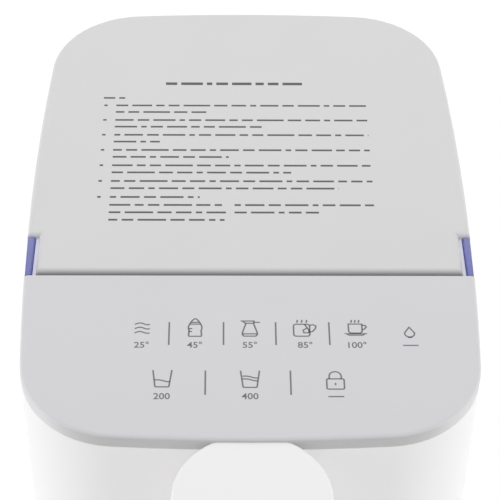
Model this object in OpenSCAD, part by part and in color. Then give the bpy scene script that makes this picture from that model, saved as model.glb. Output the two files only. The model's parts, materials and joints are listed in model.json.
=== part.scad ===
// Instant hot water dispenser: panel and lid on top, lift-off rear tank, round spout head, drip tray.
// Millimetres, +Z up, front towards -Y, table plane at z = 0.

/* [Body] */
// Width of the body at its widest, half way back
body_w = 152; // [146:1:160]
// Depth of the body from front wall to back wall
body_l = 217; // [212:1:226]
// Height from the table to the top face
body_h = 262; // [258:1:270]
// Radius of the slight bow of the two long sides
side_r = 1168; // [900:1:2000]
// Radius of the slight bow of the front and back walls
end_r = 713; // [600:1:1200]
// Plan corner radius at the front
corner_front = 32; // [28:0.5:36]
// Plan corner radius at the back
corner_back = 33.4; // [30:0.2:37]
// Distance from the front wall back to the seam between panel and lid
seam_off = 71.7; // [70:0.1:75]
// Width of the seam between panel and lid
seam_gap = 0.8; // [0.6:0.1:1.2]
// Height of the grey band formed by the panel and the lid
cap_h = 4.8; // [4.6:0.1:5.6]
// Rounding of the panel's outer top edge
panel_edge = 1.4; // [0.8:0.1:2]
// Rounding of the lid's top edge
lid_edge = 2.2; // [1:0.1:2.4]
// Wall thickness of the housings
wall = 2.4; // [2:0.1:2.8]
// Height of the rear deck that carries the tank
deck_z = 84; // [80:1:88]
// Thickness of the skin of panel and lid
skin = 2.4; // [2.2:0.1:2.6]

/* [Base] */
// Height of a foot below the base
foot_h = 3; // [2:0.5:5]
// Radius of a foot
foot_r = 8; // [6:0.5:10]
// Height of the base pan's wall
base_h = 21; // [19:1:24]
// Set-back of the base pan from the housings
base_inset = 0.8; // [0.4:0.1:1.2]
// Thickness of the base pan's floor
base_floor = 2.4; // [2:0.1:3]
// Thickness of the tongue under the drip tray
tongue_t = 5.4; // [4.5:0.1:6]
// Radius of the base screws
screw_r = 1.5; // [1.2:0.1:1.8]
// Radius of the screw heads
screw_head_r = 2.8; // [2.4:0.1:3]
// Radius of the screw bosses
boss_r = 4; // [3.6:0.1:5]
// Sideways place of the cord gland
gland_x = 45; // [30:1:50]
// Height of the cord gland's axis
gland_z = 14; // [13.5:0.5:15]
// Bore radius of the cord gland
gland_bore = 3.4; // [2.8:0.1:3.8]

/* [Drip tray] */
// Reach of the drip tray in front of the front wall
tray_reach = 62; // [58:1:70]
// Width of the drip tray
tray_w = 116; // [106:1:124]
// Height of the drip tray
tray_h = 18; // [16:0.5:21]
// Front corner radius of the drip tray
tray_corner = 26; // [18:1:32]
// Thickness of the drip tray's wall
tray_wall = 2.6; // [2.4:0.1:3]
// Thickness of the drip tray's floor
tray_floor = 4; // [3.8:0.1:5]
// Width of the ledge that carries the grid
ledge = 1.3; // [1:0.1:1.6]
// Thickness of the drip grid
grid_t = 2.8; // [2:0.1:3.5]
// Number of slots in the drip grid
slot_n = 9; // [7:2:9]
// Width of a slot
slot_w = 4; // [3:0.5:5]
// Distance from slot to slot
slot_pitch = 9; // [8:0.5:10]
// Width of a guide rail of the tray
rail_w = 4; // [3:0.5:6]
// Height of a guide rail of the tray
rail_h = 2; // [1.5:0.1:2.2]
// Distance of a guide rail from the middle
rail_x = 30; // [24:1:36]

/* [Spout] */
// Radius of the round spout head
hood_r = 24.2; // [23:0.1:26]
// Distance of the spout axis in front of the front wall
hood_off = 20.5; // [19.5:0.1:21.5]
// Drop of the spout head's top below the top face
hood_drop = 1.2; // [1:0.1:2.6]
// Height of the spout head
hood_h = 50; // [47:1:54]
// Rounding of the spout head's top edge
hood_edge = 1.2; // [0.6:0.1:2]
// Wall thickness of the spout head
hood_wall = 2.2; // [1.8:0.1:2.6]
// Length of the nozzle tip below the spout plate
nozzle_tip = 6; // [4:0.5:9]
// Outer radius of the nozzle tip
nozzle_r = 5; // [4.4:0.1:6]

/* [Tank] */
// Wall thickness of the tank
tank_wall = 2.6; // [2.2:0.1:2.8]
// Set-back of the tank's wall from the lid's edge
tank_inset = 0.15; // [0.1:0.05:0.4]
// Height of the skirt under the tank's floor
skirt_h = 10; // [9.5:0.5:12]
// Thickness of the tank's floor
tank_floor = 3; // [2.6:0.1:3.6]
// Width of the notches at the lid's front corners
notch_w = 4.3; // [3.8:0.1:4.6]
// Length of the notches
notch_l = 19; // [14:1:26]
// Drop of the tank's ears in the notches below the top face
ear_drop = 1.2; // [1:0.1:2.4]
// Thickness of the lid gasket
gasket_t = 1.4; // [1.1:0.1:1.6]
// Depth of the gasket below the lid
gasket_h = 4; // [3:0.1:4.5]
// Distance of the lid hinge axis from the back edge
hinge_in = 6.3; // [6:0.1:7]
// Radius of the hinge knuckles
knuckle_r = 2.5; // [2.3:0.1:2.5]
// Radius of the hinge pin
pin_r = 1; // [0.8:0.1:1.1]
// Half length of the hinge
hinge_half = 30; // [26:1:32]
// Width of a hinge lug on the tank
lug_w = 8; // [6:0.5:9]
// Distance of the valve axis behind the seam
valve_off = 45; // [42:1:48]
// Travel of the valve plunger
valve_lift = 2.9; // [2.4:0.1:3.2]
// Outer radius of the valve neck
neck_r = 8.5; // [8.2:0.1:8.8]
// Bore radius of the valve neck
neck_bore = 5.5; // [5:0.1:6]
// Radius of the plunger's stem
stem_r = 2; // [1.8:0.1:2.2]
// Number of turns of the valve spring
spring_turns = 5; // [4:1:6]
// Wire radius of the valve spring
wire_r = 0.4; // [0.3:0.05:0.5]
// Radius of the level float
float_r = 10; // [9:0.5:11]
// Height of the level float
float_h = 14; // [12:1:16]
// Width of the level sensor's board
sensor_w = 12; // [10:1:13]
// Travel of the level float
float_travel = 26; // [20:1:32]

/* [Water path] */
// Outer radius of the hoses
hose_r = 5.2; // [4.9:0.1:5.4]
// Outer radius of the hose stubs
stub_r = 3.5; // [3.2:0.1:3.6]
// Bore radius of the hose stubs
stub_bore = 2.4; // [2:0.1:2.6]
// Bend radius of the hoses
bend_r = 13; // [12:0.5:14]
// Length of hose pushed over a stub
grip_l = 8; // [6:0.5:9]
// Radius of the heater tube
heater_r = 17; // [15:0.5:18]
// Length of the heater tube
heater_l = 84; // [76:1:90]
// Distance of the heater tube's upper end below the outlet hose's axis
heater_drop = 44; // [42:1:48]
// Width of the heater bracket's back plate
bracket_w = 20; // [18:1:22]
// Sideways place of the heater and of the pump's outlet
heater_x = 32; // [30:1:34]
// Distance of the heater axis behind the front wall
heater_off = 36; // [34:1:38]
// Distance of the outlet hose's axis below the top face
outlet_drop = 26; // [24:0.5:27]
// Height of the pump's axis
pump_z = 32; // [31:0.5:34]
// Outer radius of the pump housing
pump_r = 18; // [17:0.5:19]
// Length of the pump housing
pump_l = 16; // [15:0.5:18]
// Radius of the pump motor
motor_r = 13; // [11:0.5:14]
// Length of the pump motor
motor_l = 26; // [22:1:28]
// Radius of the impeller
impeller_r = 13; // [11:0.5:13.5]
// Radius of the motor shaft
shaft_r = 1.5; // [1.2:0.1:1.8]

/* [Boards] */
// Thickness of the circuit boards
board_t = 1.6; // [1.2:0.1:2]
// Width of the touch board
touch_w = 112; // [106:1:116]
// Depth of the touch board
touch_l = 46; // [44:1:48]
// Width of the power board
power_w = 60; // [52:1:62]
// Height of the power board
power_h = 104; // [96:1:110]
// Distance of the power board from the column's back wall
power_gap = 6; // [5:0.5:8]
// Margin from the power board's edge to its fasteners and parts
power_margin = 6; // [5:0.5:7]
// Width of the relay
relay_w = 20; // [16:1:22]
// Depth of the relay
relay_d = 16; // [12:1:18]
// Height of the relay
relay_h = 16; // [12:1:20]
// Radius of the capacitor
capacitor_r = 8; // [6:0.5:8]
// Length of the capacitor
capacitor_l = 24; // [18:1:28]
// Width of the heat sink
sink_w = 48; // [40:1:50]
// Depth of the heat sink with its fins
sink_d = 20; // [14:1:22]
// Height of the heat sink
sink_h = 40; // [30:1:44]
// Thickness of the heat sink's plate
sink_t = 4; // [3:0.5:5]
// Thickness of a fin
fin_t = 2; // [1.4:0.1:2.4]
// Number of fins
fin_n = 6; // [4:1:7]
// Distance between the keys of the rear row
key_pitch = 17.7; // [17:0.1:18.4]
// Distance of the rear row of keys from the front wall
key_off = 46; // [44:0.5:48]
// Distance between the keys of the front row
amount_pitch = 28; // [26:0.5:30]
// Distance of the front row of keys from the front wall
amount_off = 24; // [22:0.5:26]
// Width of a key light
led_w = 3.2; // [2.8:0.1:3.6]
// Depth of a key light
led_l = 1.6; // [1.2:0.1:2]
// Height of a key light
led_t = 0.9; // [0.7:0.05:1]

/* [Fits] */
// Gap between pieces that slide or swing past each other
slide_gap = 0.4; // [0.3:0.05:0.5]
// Gap between pieces that stay put
fit_gap = 0.15; // [0.1:0.05:0.25]
// Radial clearance of pins and shafts
pin_gap = 0.05; // [0.02:0.01:0.08]
// Gap under pieces that rest on another piece
seat_gap = 0.3; // [0.2:0.05:0.4]

/* [Hidden] */
$fn = 72;
// Steps along the plan's sides, corners and half ends
side_steps = 5;
corner_steps = 12;
end_steps = 4;
edge_steps = 6;
total_l = body_l + tray_reach;
y_tray = -total_l / 2;
y_front = y_tray + tray_reach;
y_back = total_l / 2;
y_mid = (y_front + y_back) / 2;
y_seam = y_front + seam_off;
y_panel = y_seam - seam_gap / 2;
y_lid = y_seam + seam_gap / 2;
z_cap = body_h - cap_h;
z_base = foot_h + base_h;
big = 600;
// Column
y_column = y_panel - fit_gap;
flange_w = 9;
z_flange = z_cap - 8;
column_sink = 1.4;
column_head_t = 1.3;
column_screw_x = side_x(wall, y_column) - flange_w / 2;
column_screw_in = [20, 30];
column_screw_z = [deck_z + column_screw_in[0], z_cap - column_screw_in[1]];
window_r = hose_r + 0.8;
// Base
boss_in = [46, 44];
boss_y = [y_front + boss_in[0], y_back - boss_in[1]];
boss_sink = 0.8;
wall_boss_l = 12;
base_sink = 2.4;
base_head_t = 2;
base_bite = 10;
foot_x = 50;
foot_in = [20, 26];
foot_y = [y_front + foot_in[0], y_back - foot_in[1]];
tray_foot_in = [14, 22];
tray_foot_x = foot_x - tray_foot_in[0];
y_tray_foot = y_tray + tray_foot_in[1];
peg_r = 3;
tray_peg = 2.2;
tray_peg_hole = 2.4;
vent_n = 7;
vent_w = 4;
vent_pitch = 10;
vent_off = [20, 60];
y_vent = [y_mid + vent_off[0], y_mid + vent_off[1]];
// Cord gland
gland_seat = 4.5;
gland_grip = 3;
gland_l = 11.4;
gland_in = 13;
gland_sleeve_r = 5;
gland_flange_r = 7.6;
gland_flange_t = 1.6;
gland_nut_r = 7.4;
gland_nut_t = 3.1;
gland_boss = 10;
gland_cut = 20;
// Panel's underside
panel_seam_edge = 0.3;
shoulder = 1.2;
lip_h = 5;
lip_t = 1.6;
// Tray and tongue
z_tongue = foot_h + tongue_t;
tongue_inset = 1.2;
tongue_lap = 6;
rail_in = [12, 6];
y_rail = [y_tray + rail_in[0], y_front - rail_in[1]];
slot_in = 10;
z_tray = z_tongue + seat_gap;
y_tray_rear = y_front - 0.8;
z_ledge = z_tray + tray_h - grid_t - fit_gap;
// Spout
y_hood = y_front - hood_off;
z_hood = body_h - hood_drop;
z_hood_low = z_hood - hood_h;
plate_t = 2.5;
nozzle_flange = 1.6;
hood_boss_l = 9;
hood_pilot = 8.2;
hood_screw_l = 7;
hood_screw_r = screw_r - 0.35;
hood_head_t = 1.8;
web_t = 8;
z_plate = z_hood_low + 1;
hood_screw_z = [z_cap - screw_head_r - slide_gap, z_plate + plate_t + boss_r + 0.5];
// Tank
y_tank = y_lid + 0.2;
z_tank = deck_z + seat_gap;
z_rim = z_cap - 0.6;
z_hinge = z_cap - 0.35;
y_hinge = y_back - hinge_in;
y_step = y_hinge - knuckle_r - slide_gap;
z_step = z_hinge - norm([hinge_in, body_h - z_hinge]) - 1.4;
mouth_d = tank_inset + tank_wall;
gasket_d = mouth_d + 0.35;
plug_d = gasket_d + gasket_t;
plug_t = 2;
rim_gap = 0.6;
rim_t = 1.8;
rim_h = 4;
z_floor = z_tank + skirt_h;
z_water = z_floor + tank_floor;
notch_x = body_w / 2 - notch_w;
y_notch = y_lid + notch_l;
x_ear = side_x(mouth_d, y_notch);
z_ear = body_h - ear_drop;
y_valve = y_seam + valve_off;
// Valve
flange_t = 2;
z_seat = z_water + flange_t;
seal_t = 1.2;
head_r = 8;
head_t = 2.4;
lift_room = 0.1;
z_head = z_seat + valve_lift + lift_room + seal_t;
neck_l = 7.5;
neck_cut = 10;
guide_w = 2.4;
guide_h = 4;
cage_r = 12.2;
cage_t = 2;
leg_w = 3;
leg_t = 1.8;
cage_hole_r = 2;
cage_hole_at = 8.4;
spring_room = 10;
z_cage = z_head + head_t + spring_room;
stem_below = 6.7;
z_stem = z_floor - stem_below;
spring_r = 4.2;
spring_guide_r = 2.6;
spring_guide_h = 3;
// Dock
cup_r = 13;
cup_bore = 10;
cup_drop = 8;
cup_gap = 2.2;
dock_stub_l = 12;
z_cup = deck_z - cup_drop;
z_cup_top = z_floor - cup_gap;
z_dock_stub = z_cup - dock_stub_l;
cup_floor = 2.5;
dock_cut = 40;
deck_cut = 20;
dock_flange = 3;
dock_flange_t = 1.5;
bridge_w = 2;
dock_seal_drop = 4;
dock_seal_h = 2.6;
// Float
float_x = heater_x + bracket_w / 2 + sensor_w / 2 + 1;
y_float = y_tank + tank_wall + float_r + 6;
post_r = 2.2;
z_float = z_water + 1;
z_post = z_float + float_h + float_travel + 3;
keeper_drop = 2;
keeper_w = 2.4;
keeper_t = 1.6;
magnet_off = 6.2;
magnet_r = 2.8;
magnet_l = 4;
magnet_hole = 5;
sensor_h = 24;
reed = [5, 1.8, 4];
// Pump
pump_x = heater_x - pump_l / 2;
pump_outlet_z = pump_z + 11;
y_pump_out = y_valve - pump_r - 12;
volute_r = impeller_r + 1.5;
volute_wall = 2.5;
stub_l = 10;
hub_gap = 1.5;
hub_r = 3.6;
disc_off = 5;
disc_t = 1.6;
vane_n = 6;
vane_l = 4.5;
vane_t = 1.2;
shaft_short = 14;
saddle_in = 4;
saddle_w = 30;
saddle_drop = 8;
cradle_off = 8;
cradle_l = 10;
cradle_w = 22;
cradle_drop = 6;
mount_t = 3;
// Heater
outlet_z = body_h - outlet_drop;
heater_z = outlet_z - heater_drop - heater_l;
y_heater = y_front + heater_off;
cap_t = 8;
cap_rim = 1.2;
cap_plug = 4;
cap_fit = 0.1;
cap_land = 4;
heater_wall = 1.5;
probe_off = 10.5;
probe_r = 2;
probe_l = 14;
probe_head_r = 3.4;
probe_head_l = 5;
strap_in = 14;
strap_h = 10;
strap_t = 2.4;
arm_w = 16;
bracket_t = 3;
cutout_r = 7.5;
cutout_l = 9;
tag_l = 5;
tag_w = 8;
tag_t = 1;
tag_off = 4;
z_heater_in = heater_z - cap_t - stub_l;
z_heater_out = heater_z + heater_l + cap_t + stub_l;
// Boards
touch_gap = 1.4;
z_touch = body_h - skin - touch_gap - board_t;
touch_post_r = 2.6;
touch_screw_r = 0.85;
touch_head_r = 1.9;
touch_head_t = 1.2;
touch_bite = 1.2;
chip = [12, 10, 1.4];
chip_x = -9;
plug = [16, 6, 5];
plug_in = [6, 8];
touch_in = 13;
touch_screw_in = 5;
touch_y0 = y_front + touch_in;
touch_x = touch_w / 2 - touch_screw_in;
touch_screw_y = [touch_y0 + touch_screw_in, touch_y0 + touch_l - touch_screw_in];
y_power = y_column - wall - power_gap - board_t;
power_x = -33;
power_z = 108;
hose_bore = stub_r + 0.1;
clip_t = 0.9;
clip_h = 4;
clip_in = 2;

// Plan outline: tangent arcs, inset by d
function arc(c, r, a0, a1, n) =
    [for (i = [0:n]) let (a = a0 + (a1 - a0) * i / n) c + r * [cos(a), sin(a)]];
function tail(v) = [for (i = [1:1:len(v) - 1]) v[i]];
function flip(v) = [for (i = [len(v) - 1:-1:0]) [-v[i][0], v[i][1]]];
function angle_of(v) = atan2(v[1], v[0]);
function side_c() = [body_w / 2 - side_r, y_mid];
function side_x(d, y) = side_c()[0] + sqrt(pow(side_r - d, 2) - pow(y - y_mid, 2));
// Middle of a screw boss that leans on the side wall
function boss_x(y) = side_x(wall, y) - boss_r + boss_sink;
function corner_c(e, r, s) =
    let (v = e - side_c(), l = norm(v), a = side_r - r, b = end_r - r,
        t = (a * a - b * b + l * l) / (2 * l))
    side_c() + t * v / l + s * sqrt(a * a - t * t) * [-v[1], v[0]] / l;
function back_run(d, y) =
    let (e = [0, y_back - end_r], c = corner_c(e, corner_back, 1),
        a_line = asin((y - y_mid) / (side_r - d)), a_side = angle_of(c - side_c()), a_end = angle_of(c - e))
    concat(arc(side_c(), side_r - d, a_line, a_side, side_steps),
        tail(arc(c, corner_back - d, a_side, a_end, corner_steps)),
        tail(arc(e, end_r - d, a_end, 90, end_steps)));
function front_run(d, y) =
    let (e = [0, y_front + end_r], c = corner_c(e, corner_front, -1),
        a_line = asin((y - y_mid) / (side_r - d)), a_side = angle_of(c - side_c()), a_end = angle_of(c - e))
    concat(arc(e, end_r - d, -90, a_end, end_steps),
        tail(arc(c, corner_front - d, a_end, a_side, corner_steps)),
        tail(arc(side_c(), side_r - d, a_side, a_line, side_steps)));
function back_ring(d, y) = let (r = back_run(d, y)) concat(r, tail(flip(r)));
function front_ring(d, y) = let (r = front_run(d, y)) concat(flip(tail(r)), r);
function full_ring(d) =
    let (b = tail(back_run(d, y_mid)), f = tail(flip(b)))
    concat(front_ring(d, y_mid), b, f);
function lid_ring(d) =
    let (y = y_notch + d, r = concat([[notch_x - d, y_lid + d], [notch_x - d, y]], back_run(d, y)))
    concat(r, tail(flip(r)));
function tray_ring(d, y) =
    let (x = tray_w / 2 - tray_corner,
        c = [x, y_tray + tray_corner],
        r = concat(arc(c, tray_corner - d, -90, 0, corner_steps), [[tray_w / 2 - d, y]]))
    concat(flip(r), r);
// Insets and heights up a rounded top edge of radius e that ends at height z
function round_edge(z, e) =
    [for (i = [0:edge_steps]) let (a = 90 * i / edge_steps) [e * (1 - cos(a)), z - e + e * sin(a)]];
function lift(ring, z) = [for (p = ring) [p[0], p[1], z]];

// Solid through a stack of rings that run anticlockwise seen from the last ring;
// each end is a fan of triangles from the ring's middle point
module loft(rings) {
    n = len(rings[0]);
    top = (len(rings) - 1) * n;
    mid = floor(n / 2);
    sides = [for (j = [0:n:top - n], i = [0:n - 1]) let (m = (i + 1) % n)
        each [[j + i, j + n + i, j + n + m], [j + i, j + n + m, j + m]]];
    ends = [for (i = [1:n - 2]) let (a = (mid + i) % n, b = (mid + i + 1) % n)
        each [[mid, a, b], [top + mid, top + b, top + a]]];
    polyhedron(points = [for (r = rings) each r], faces = concat(sides, ends));
}
// Straight prism between two heights
module prism(ring, z0, z1) {
    translate([0, 0, z0])
        linear_extrude(height = z1 - z0)
            polygon(ring);
}
// Box from its low corner to its high corner
module box(a, b) {
    translate(a)
        cube(b - a);
}
// Rod from a point along one axis, given as a unit vector
module rod(p, v, l, r) {
    translate(p)
        rotate(v[0] != 0 ? [0, 90 * v[0], 0] : v[1] != 0 ? [-90 * v[1], 0, 0] : [90 - 90 * v[2], 0, 0])
            cylinder(r = r, h = l);
}
// Straight hollow hose from a point along one axis
module leg(p, v, l) {
    difference() {
        rod(p, v, l, hose_r);
        rod(p - v, v, l + 2, hose_bore);
    }
}
// Right-angle hose bend whose corner point is c, coming in along u and leaving along v
module bend(c, u, v) {
    w = cross(u, v);
    o = c + bend_r * (v - u);
    multmatrix([[-v[0], u[0], w[0], o[0]], [-v[1], u[1], w[1], o[1]], [-v[2], u[2], w[2], o[2]]])
        rotate_extrude(angle = 90)
            translate([bend_r, 0])
                difference() {
                    circle(r = hose_r);
                    circle(r = hose_bore);
                }
}
// Space inside the tank's mouth, inset by d
module mouth(d, z0, z1) {
    intersection() {
        prism(back_ring(d, y_tank + d - tank_inset), z0, z1);
        box([-big, -big, z0], [big, y_step - d + tank_inset, z1]);
    }
}
// The two sides of the machine
module both() {
    children();
    mirror([1, 0, 0])
        children();
}

module base_pan() {
    color("whitesmoke")
        difference() {
            union() {
                difference() {
                    prism(full_ring(base_inset), foot_h, z_base);
                    prism(full_ring(base_inset + wall), foot_h + base_floor, z_base + 1);
                }
                difference() {
                    prism(tray_ring(tongue_inset, y_front + tongue_lap), foot_h, z_tongue);
                    prism(full_ring(base_inset + wall / 2), foot_h + base_floor, z_base);
                }
                both()
                    box([rail_x - rail_w / 2, y_rail[0], z_tongue - 1],
                        [rail_x + rail_w / 2, y_rail[1], z_tongue + rail_h]);
                for (y = boss_y)
                    both()
                        rod([boss_x(y), y, foot_h + 1], [0, 0, 1], base_h - 1, boss_r);
                intersection() {
                    prism(full_ring(base_inset), foot_h, z_base);
                    rod([gland_x, y_back - gland_boss, gland_z], [0, 1, 0], gland_boss, gland_boss);
                }
            }
            rod([gland_x, y_back - gland_seat, gland_z], [0, 1, 0],
                gland_boss, gland_flange_r + 2 * slide_gap);
            rod([gland_x, y_back - gland_cut, gland_z], [0, 1, 0],
                1.5 * gland_cut, gland_sleeve_r + fit_gap);
            rod([gland_x, y_back - gland_cut, gland_z], [0, 1, 0],
                gland_cut - gland_seat - gland_grip, gland_nut_r + 1.5 * slide_gap);
            for (y = boss_y)
                both() {
                    rod([boss_x(y), y, 0], [0, 0, 1], big, screw_r + pin_gap);
                    rod([boss_x(y), y, 0], [0, 0, 1], foot_h + base_sink, screw_head_r + fit_gap);
                }
            for (y = foot_y)
                both()
                    rod([foot_x, y, 0], [0, 0, 1], big, peg_r + pin_gap);
            both()
                rod([tray_foot_x, y_tray_foot, 0], [0, 0, 1], foot_h + tray_peg_hole, peg_r + pin_gap);
            for (i = [-(vent_n - 1) / 2:(vent_n - 1) / 2])
                box([i * vent_pitch - vent_w / 2, y_vent[0], 0],
                    [i * vent_pitch + vent_w / 2, y_vent[1], foot_h + base_floor + 1]);
        }
}
module feet() {
    color("dimgray")
        both() {
            for (y = foot_y) {
                rod([foot_x, y, 0], [0, 0, 1], foot_h, foot_r);
                rod([foot_x, y, 0], [0, 0, 1], foot_h + base_floor, peg_r);
            }
            rod([tray_foot_x, y_tray_foot, 0], [0, 0, 1], foot_h, foot_r);
            rod([tray_foot_x, y_tray_foot, 0], [0, 0, 1], foot_h + tray_peg, peg_r);
        }
}
module base_screws() {
    color("silver")
        for (y = boss_y)
            both() {
                rod([boss_x(y), y, foot_h + base_sink - base_head_t], [0, 0, 1], base_head_t, screw_head_r);
                rod([boss_x(y), y, foot_h + base_head_t], [0, 0, 1],
                    base_h + base_bite - base_head_t, screw_r);
            }
}
module cord_gland() {
    color("dimgray")
        difference() {
            union() {
                rod([gland_x, y_back - gland_seat, gland_z], [0, 1, 0], gland_flange_t, gland_flange_r);
                rod([gland_x, y_back - gland_in, gland_z], [0, 1, 0], gland_l, gland_sleeve_r);
                rod([gland_x, y_back - gland_seat - gland_grip - gland_nut_t, gland_z], [0, 1, 0],
                    gland_nut_t, gland_nut_r);
            }
            rod([gland_x, y_back - gland_cut, gland_z], [0, 1, 0], 1.5 * gland_cut, gland_bore);
        }
}
// Screw boss that hangs on a side wall above the base pan
module wall_boss(y) {
    both()
        difference() {
            rod([boss_x(y), y, z_base], [0, 0, 1], wall_boss_l, boss_r);
            rod([boss_x(y), y, z_base - 1], [0, 0, 1], wall_boss_l, screw_r + pin_gap);
        }
}
module front_housing() {
    color("white")
        difference() {
            union() {
                difference() {
                    prism(front_ring(0, y_panel), z_base, z_cap);
                    prism(front_ring(wall, y_panel + 1), z_base - 1, z_cap + 1);
                }
                intersection() {
                    wall_boss(boss_y[0]);
                    prism(front_ring(wall / 2, y_panel), z_base, z_cap);
                }
                // Flanges that carry the column's back wall
                intersection() {
                    prism(front_ring(wall / 2, y_panel), deck_z, z_flange);
                    both()
                        box([side_x(wall, y_column) - flange_w, y_column - 2 * wall, deck_z],
                            [big, y_column - wall, z_flange]);
                }
            }
            // Window for the outlet hose and holes for the spout screws
            rod([0, y_front - 2, outlet_z], [0, 1, 0], 10, window_r);
            for (z = hood_screw_z)
                rod([0, y_front - 2, z], [0, 1, 0], 10, screw_r + fit_gap);
            for (z = column_screw_z)
                both()
                    rod([column_screw_x, y_column - 4 * wall, z], [0, 1, 0], 4 * wall, screw_r + pin_gap);
        }
}
module rear_housing() {
    color("white")
        difference() {
            union() {
                difference() {
                    prism(back_ring(0, y_panel), z_base, deck_z);
                    prism(back_ring(wall, y_panel - 1), z_base - 1, deck_z - wall);
                }
                intersection() {
                    wall_boss(boss_y[1]);
                    prism(back_ring(wall / 2, y_panel), z_base, deck_z);
                }
                // Low rim that keeps the tank's skirt in place
                difference() {
                    prism(back_ring(mouth_d + rim_gap, y_tank + tank_wall + rim_gap),
                        deck_z - 1, deck_z + rim_h);
                    prism(back_ring(mouth_d + rim_gap + rim_t, y_tank + tank_wall + rim_gap + rim_t),
                        deck_z - 2, deck_z + rim_h + 1);
                }
            }
            rod([0, y_valve, deck_z - deck_cut], [0, 0, 1], 2 * deck_cut, cup_r + fit_gap);
        }
}
module column_back() {
    color("white")
        difference() {
            box([seat_gap - side_x(wall, y_panel), y_column - wall, deck_z],
                [side_x(wall, y_panel) - seat_gap, y_column, z_cap]);
            for (z = column_screw_z)
                both() {
                    rod([column_screw_x, y_column - 2 * wall, z], [0, 1, 0], 4 * wall, screw_r + fit_gap);
                    rod([column_screw_x, y_column - column_sink, z], [0, 1, 0], 4, screw_head_r + fit_gap);
                }
        }
}
module column_screws() {
    color("silver")
        for (z = column_screw_z)
            both() {
                rod([column_screw_x, y_column - column_sink, z], [0, 1, 0], column_head_t, screw_head_r);
                rod([column_screw_x, y_column - 3 * wall, z], [0, 1, 0], 3 * wall - 1, screw_r);
            }
}
module control_panel() {
    color("lightgray")
        difference() {
            union() {
                loft([for (s = round_edge(body_h, panel_edge))
                    lift(front_ring(s[0], y_panel - min(s[0], panel_seam_edge)), s[1])]);
                difference() {
                    prism(front_ring(0, y_panel), z_cap, body_h - panel_edge);
                    prism(front_ring(wall + shoulder, y_panel - wall), z_cap - 1, body_h - skin);
                }
                // Lip that drops into the front housing
                difference() {
                    prism(front_ring(wall + fit_gap, y_column - 2 * wall - 1), z_cap - lip_h, z_cap + 1);
                    prism(front_ring(wall + fit_gap + lip_t, y_panel), z_cap - lip_h - 1, z_cap + 2);
                    // Relief over the upper spout screw
                    box([-screw_head_r - 1, y_front, z_cap - lip_h - 1],
                        [screw_head_r + 1, y_front + 10, z_cap]);
                }
                for (y = touch_screw_y)
                    both()
                        rod([touch_x, y, z_touch + board_t], [0, 0, 1], touch_gap + 0.2, touch_post_r);
            }
            for (y = touch_screw_y)
                both()
                    rod([touch_x, y, z_touch - 1], [0, 0, 1],
                        board_t + touch_gap + 1.2, touch_screw_r + pin_gap);
        }
}
module touch_board() {
    color("darkgreen")
        difference() {
            union() {
                box([-touch_w / 2, touch_y0, z_touch],
                    [touch_w / 2, touch_y0 + touch_l, z_touch + board_t]);
                // Chip and plug socket under the board
                translate([chip_x, touch_y0 + (touch_l - chip[1]) / 2, z_touch - chip[2]])
                    cube(chip);
                translate([plug_in[0] - touch_w / 2, touch_y0 + touch_l - plug_in[1] - plug[1],
                    z_touch - plug[2]])
                    cube(plug);
            }
            for (y = touch_screw_y)
                both()
                    rod([touch_x, y, z_touch - 1], [0, 0, 1], 10, touch_screw_r + 2 * pin_gap);
        }
}
module touch_leds() {
    // The rear row's last light stands apart from the keys
    spots = concat([for (i = [-2:2]) [key_pitch * i - led_w / 2, key_off]],
        [for (i = [-1:1]) [amount_pitch * i - led_w / 2, amount_off]],
        [[2.6 * key_pitch, key_off - 2]]);
    color("lightyellow")
        for (p = spots)
            translate([p[0], y_front + p[1], z_touch + board_t])
                cube([led_w, led_l, led_t]);
}
module board_screws() {
    color("silver")
        for (y = touch_screw_y)
            both() {
                rod([touch_x, y, z_touch - touch_head_t], [0, 0, 1], touch_head_t, touch_head_r);
                rod([touch_x, y, z_touch - 1], [0, 0, 1], board_t + touch_bite + 1, touch_screw_r);
            }
}
module spout_hood() {
    r = hood_r;
    e = hood_edge;
    color("white")
        difference() {
            union() {
                difference() {
                    translate([0, y_hood, 0])
                        rotate_extrude()
                            difference() {
                                union() {
                                    translate([0, z_hood_low])
                                        square([r, hood_h - e]);
                                    translate([0, z_hood_low])
                                        square([r - e, hood_h]);
                                    translate([r - e, z_hood - e])
                                        circle(r = e);
                                }
                                translate([0, z_hood_low - 1])
                                    square([r - hood_wall, hood_h - hood_wall + 1]);
                                translate([-r, 0])
                                    square([r, big]);
                            }
                }
                // Screw bosses and the web that carries the lower one
                intersection() {
                    translate([0, y_hood, z_hood_low])
                        cylinder(r = r - hood_wall / 2, h = hood_h - hood_wall / 2);
                    union() {
                        for (z = hood_screw_z)
                            rod([0, y_front - hood_boss_l, z], [0, 1, 0], hood_boss_l + 3, boss_r);
                        box([-r, y_front - web_t / 2, z_plate + plate_t + fit_gap],
                            [r, y_front + web_t / 2, hood_screw_z[1] + boss_r]);
                        box([-boss_r, y_front - hood_boss_l, hood_screw_z[0]],
                            [boss_r, y_front + 3, z_hood - 1]);
                    }
                }
            }
            prism(front_ring(0, y_mid), 0, big);
            for (z = hood_screw_z)
                rod([0, y_front - hood_pilot, z], [0, 1, 0], 12, hood_screw_r + pin_gap);
        }
}
module spout_plate() {
    color("lightgray")
        difference() {
            translate([0, y_hood, z_plate])
                cylinder(r = hood_r - hood_wall - fit_gap, h = plate_t);
            translate([0, y_hood, z_plate - 1])
                cylinder(r = nozzle_r + fit_gap, h = plate_t + 2);
            prism(front_ring(-fit_gap, y_mid), 0, big);
        }
}
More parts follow.
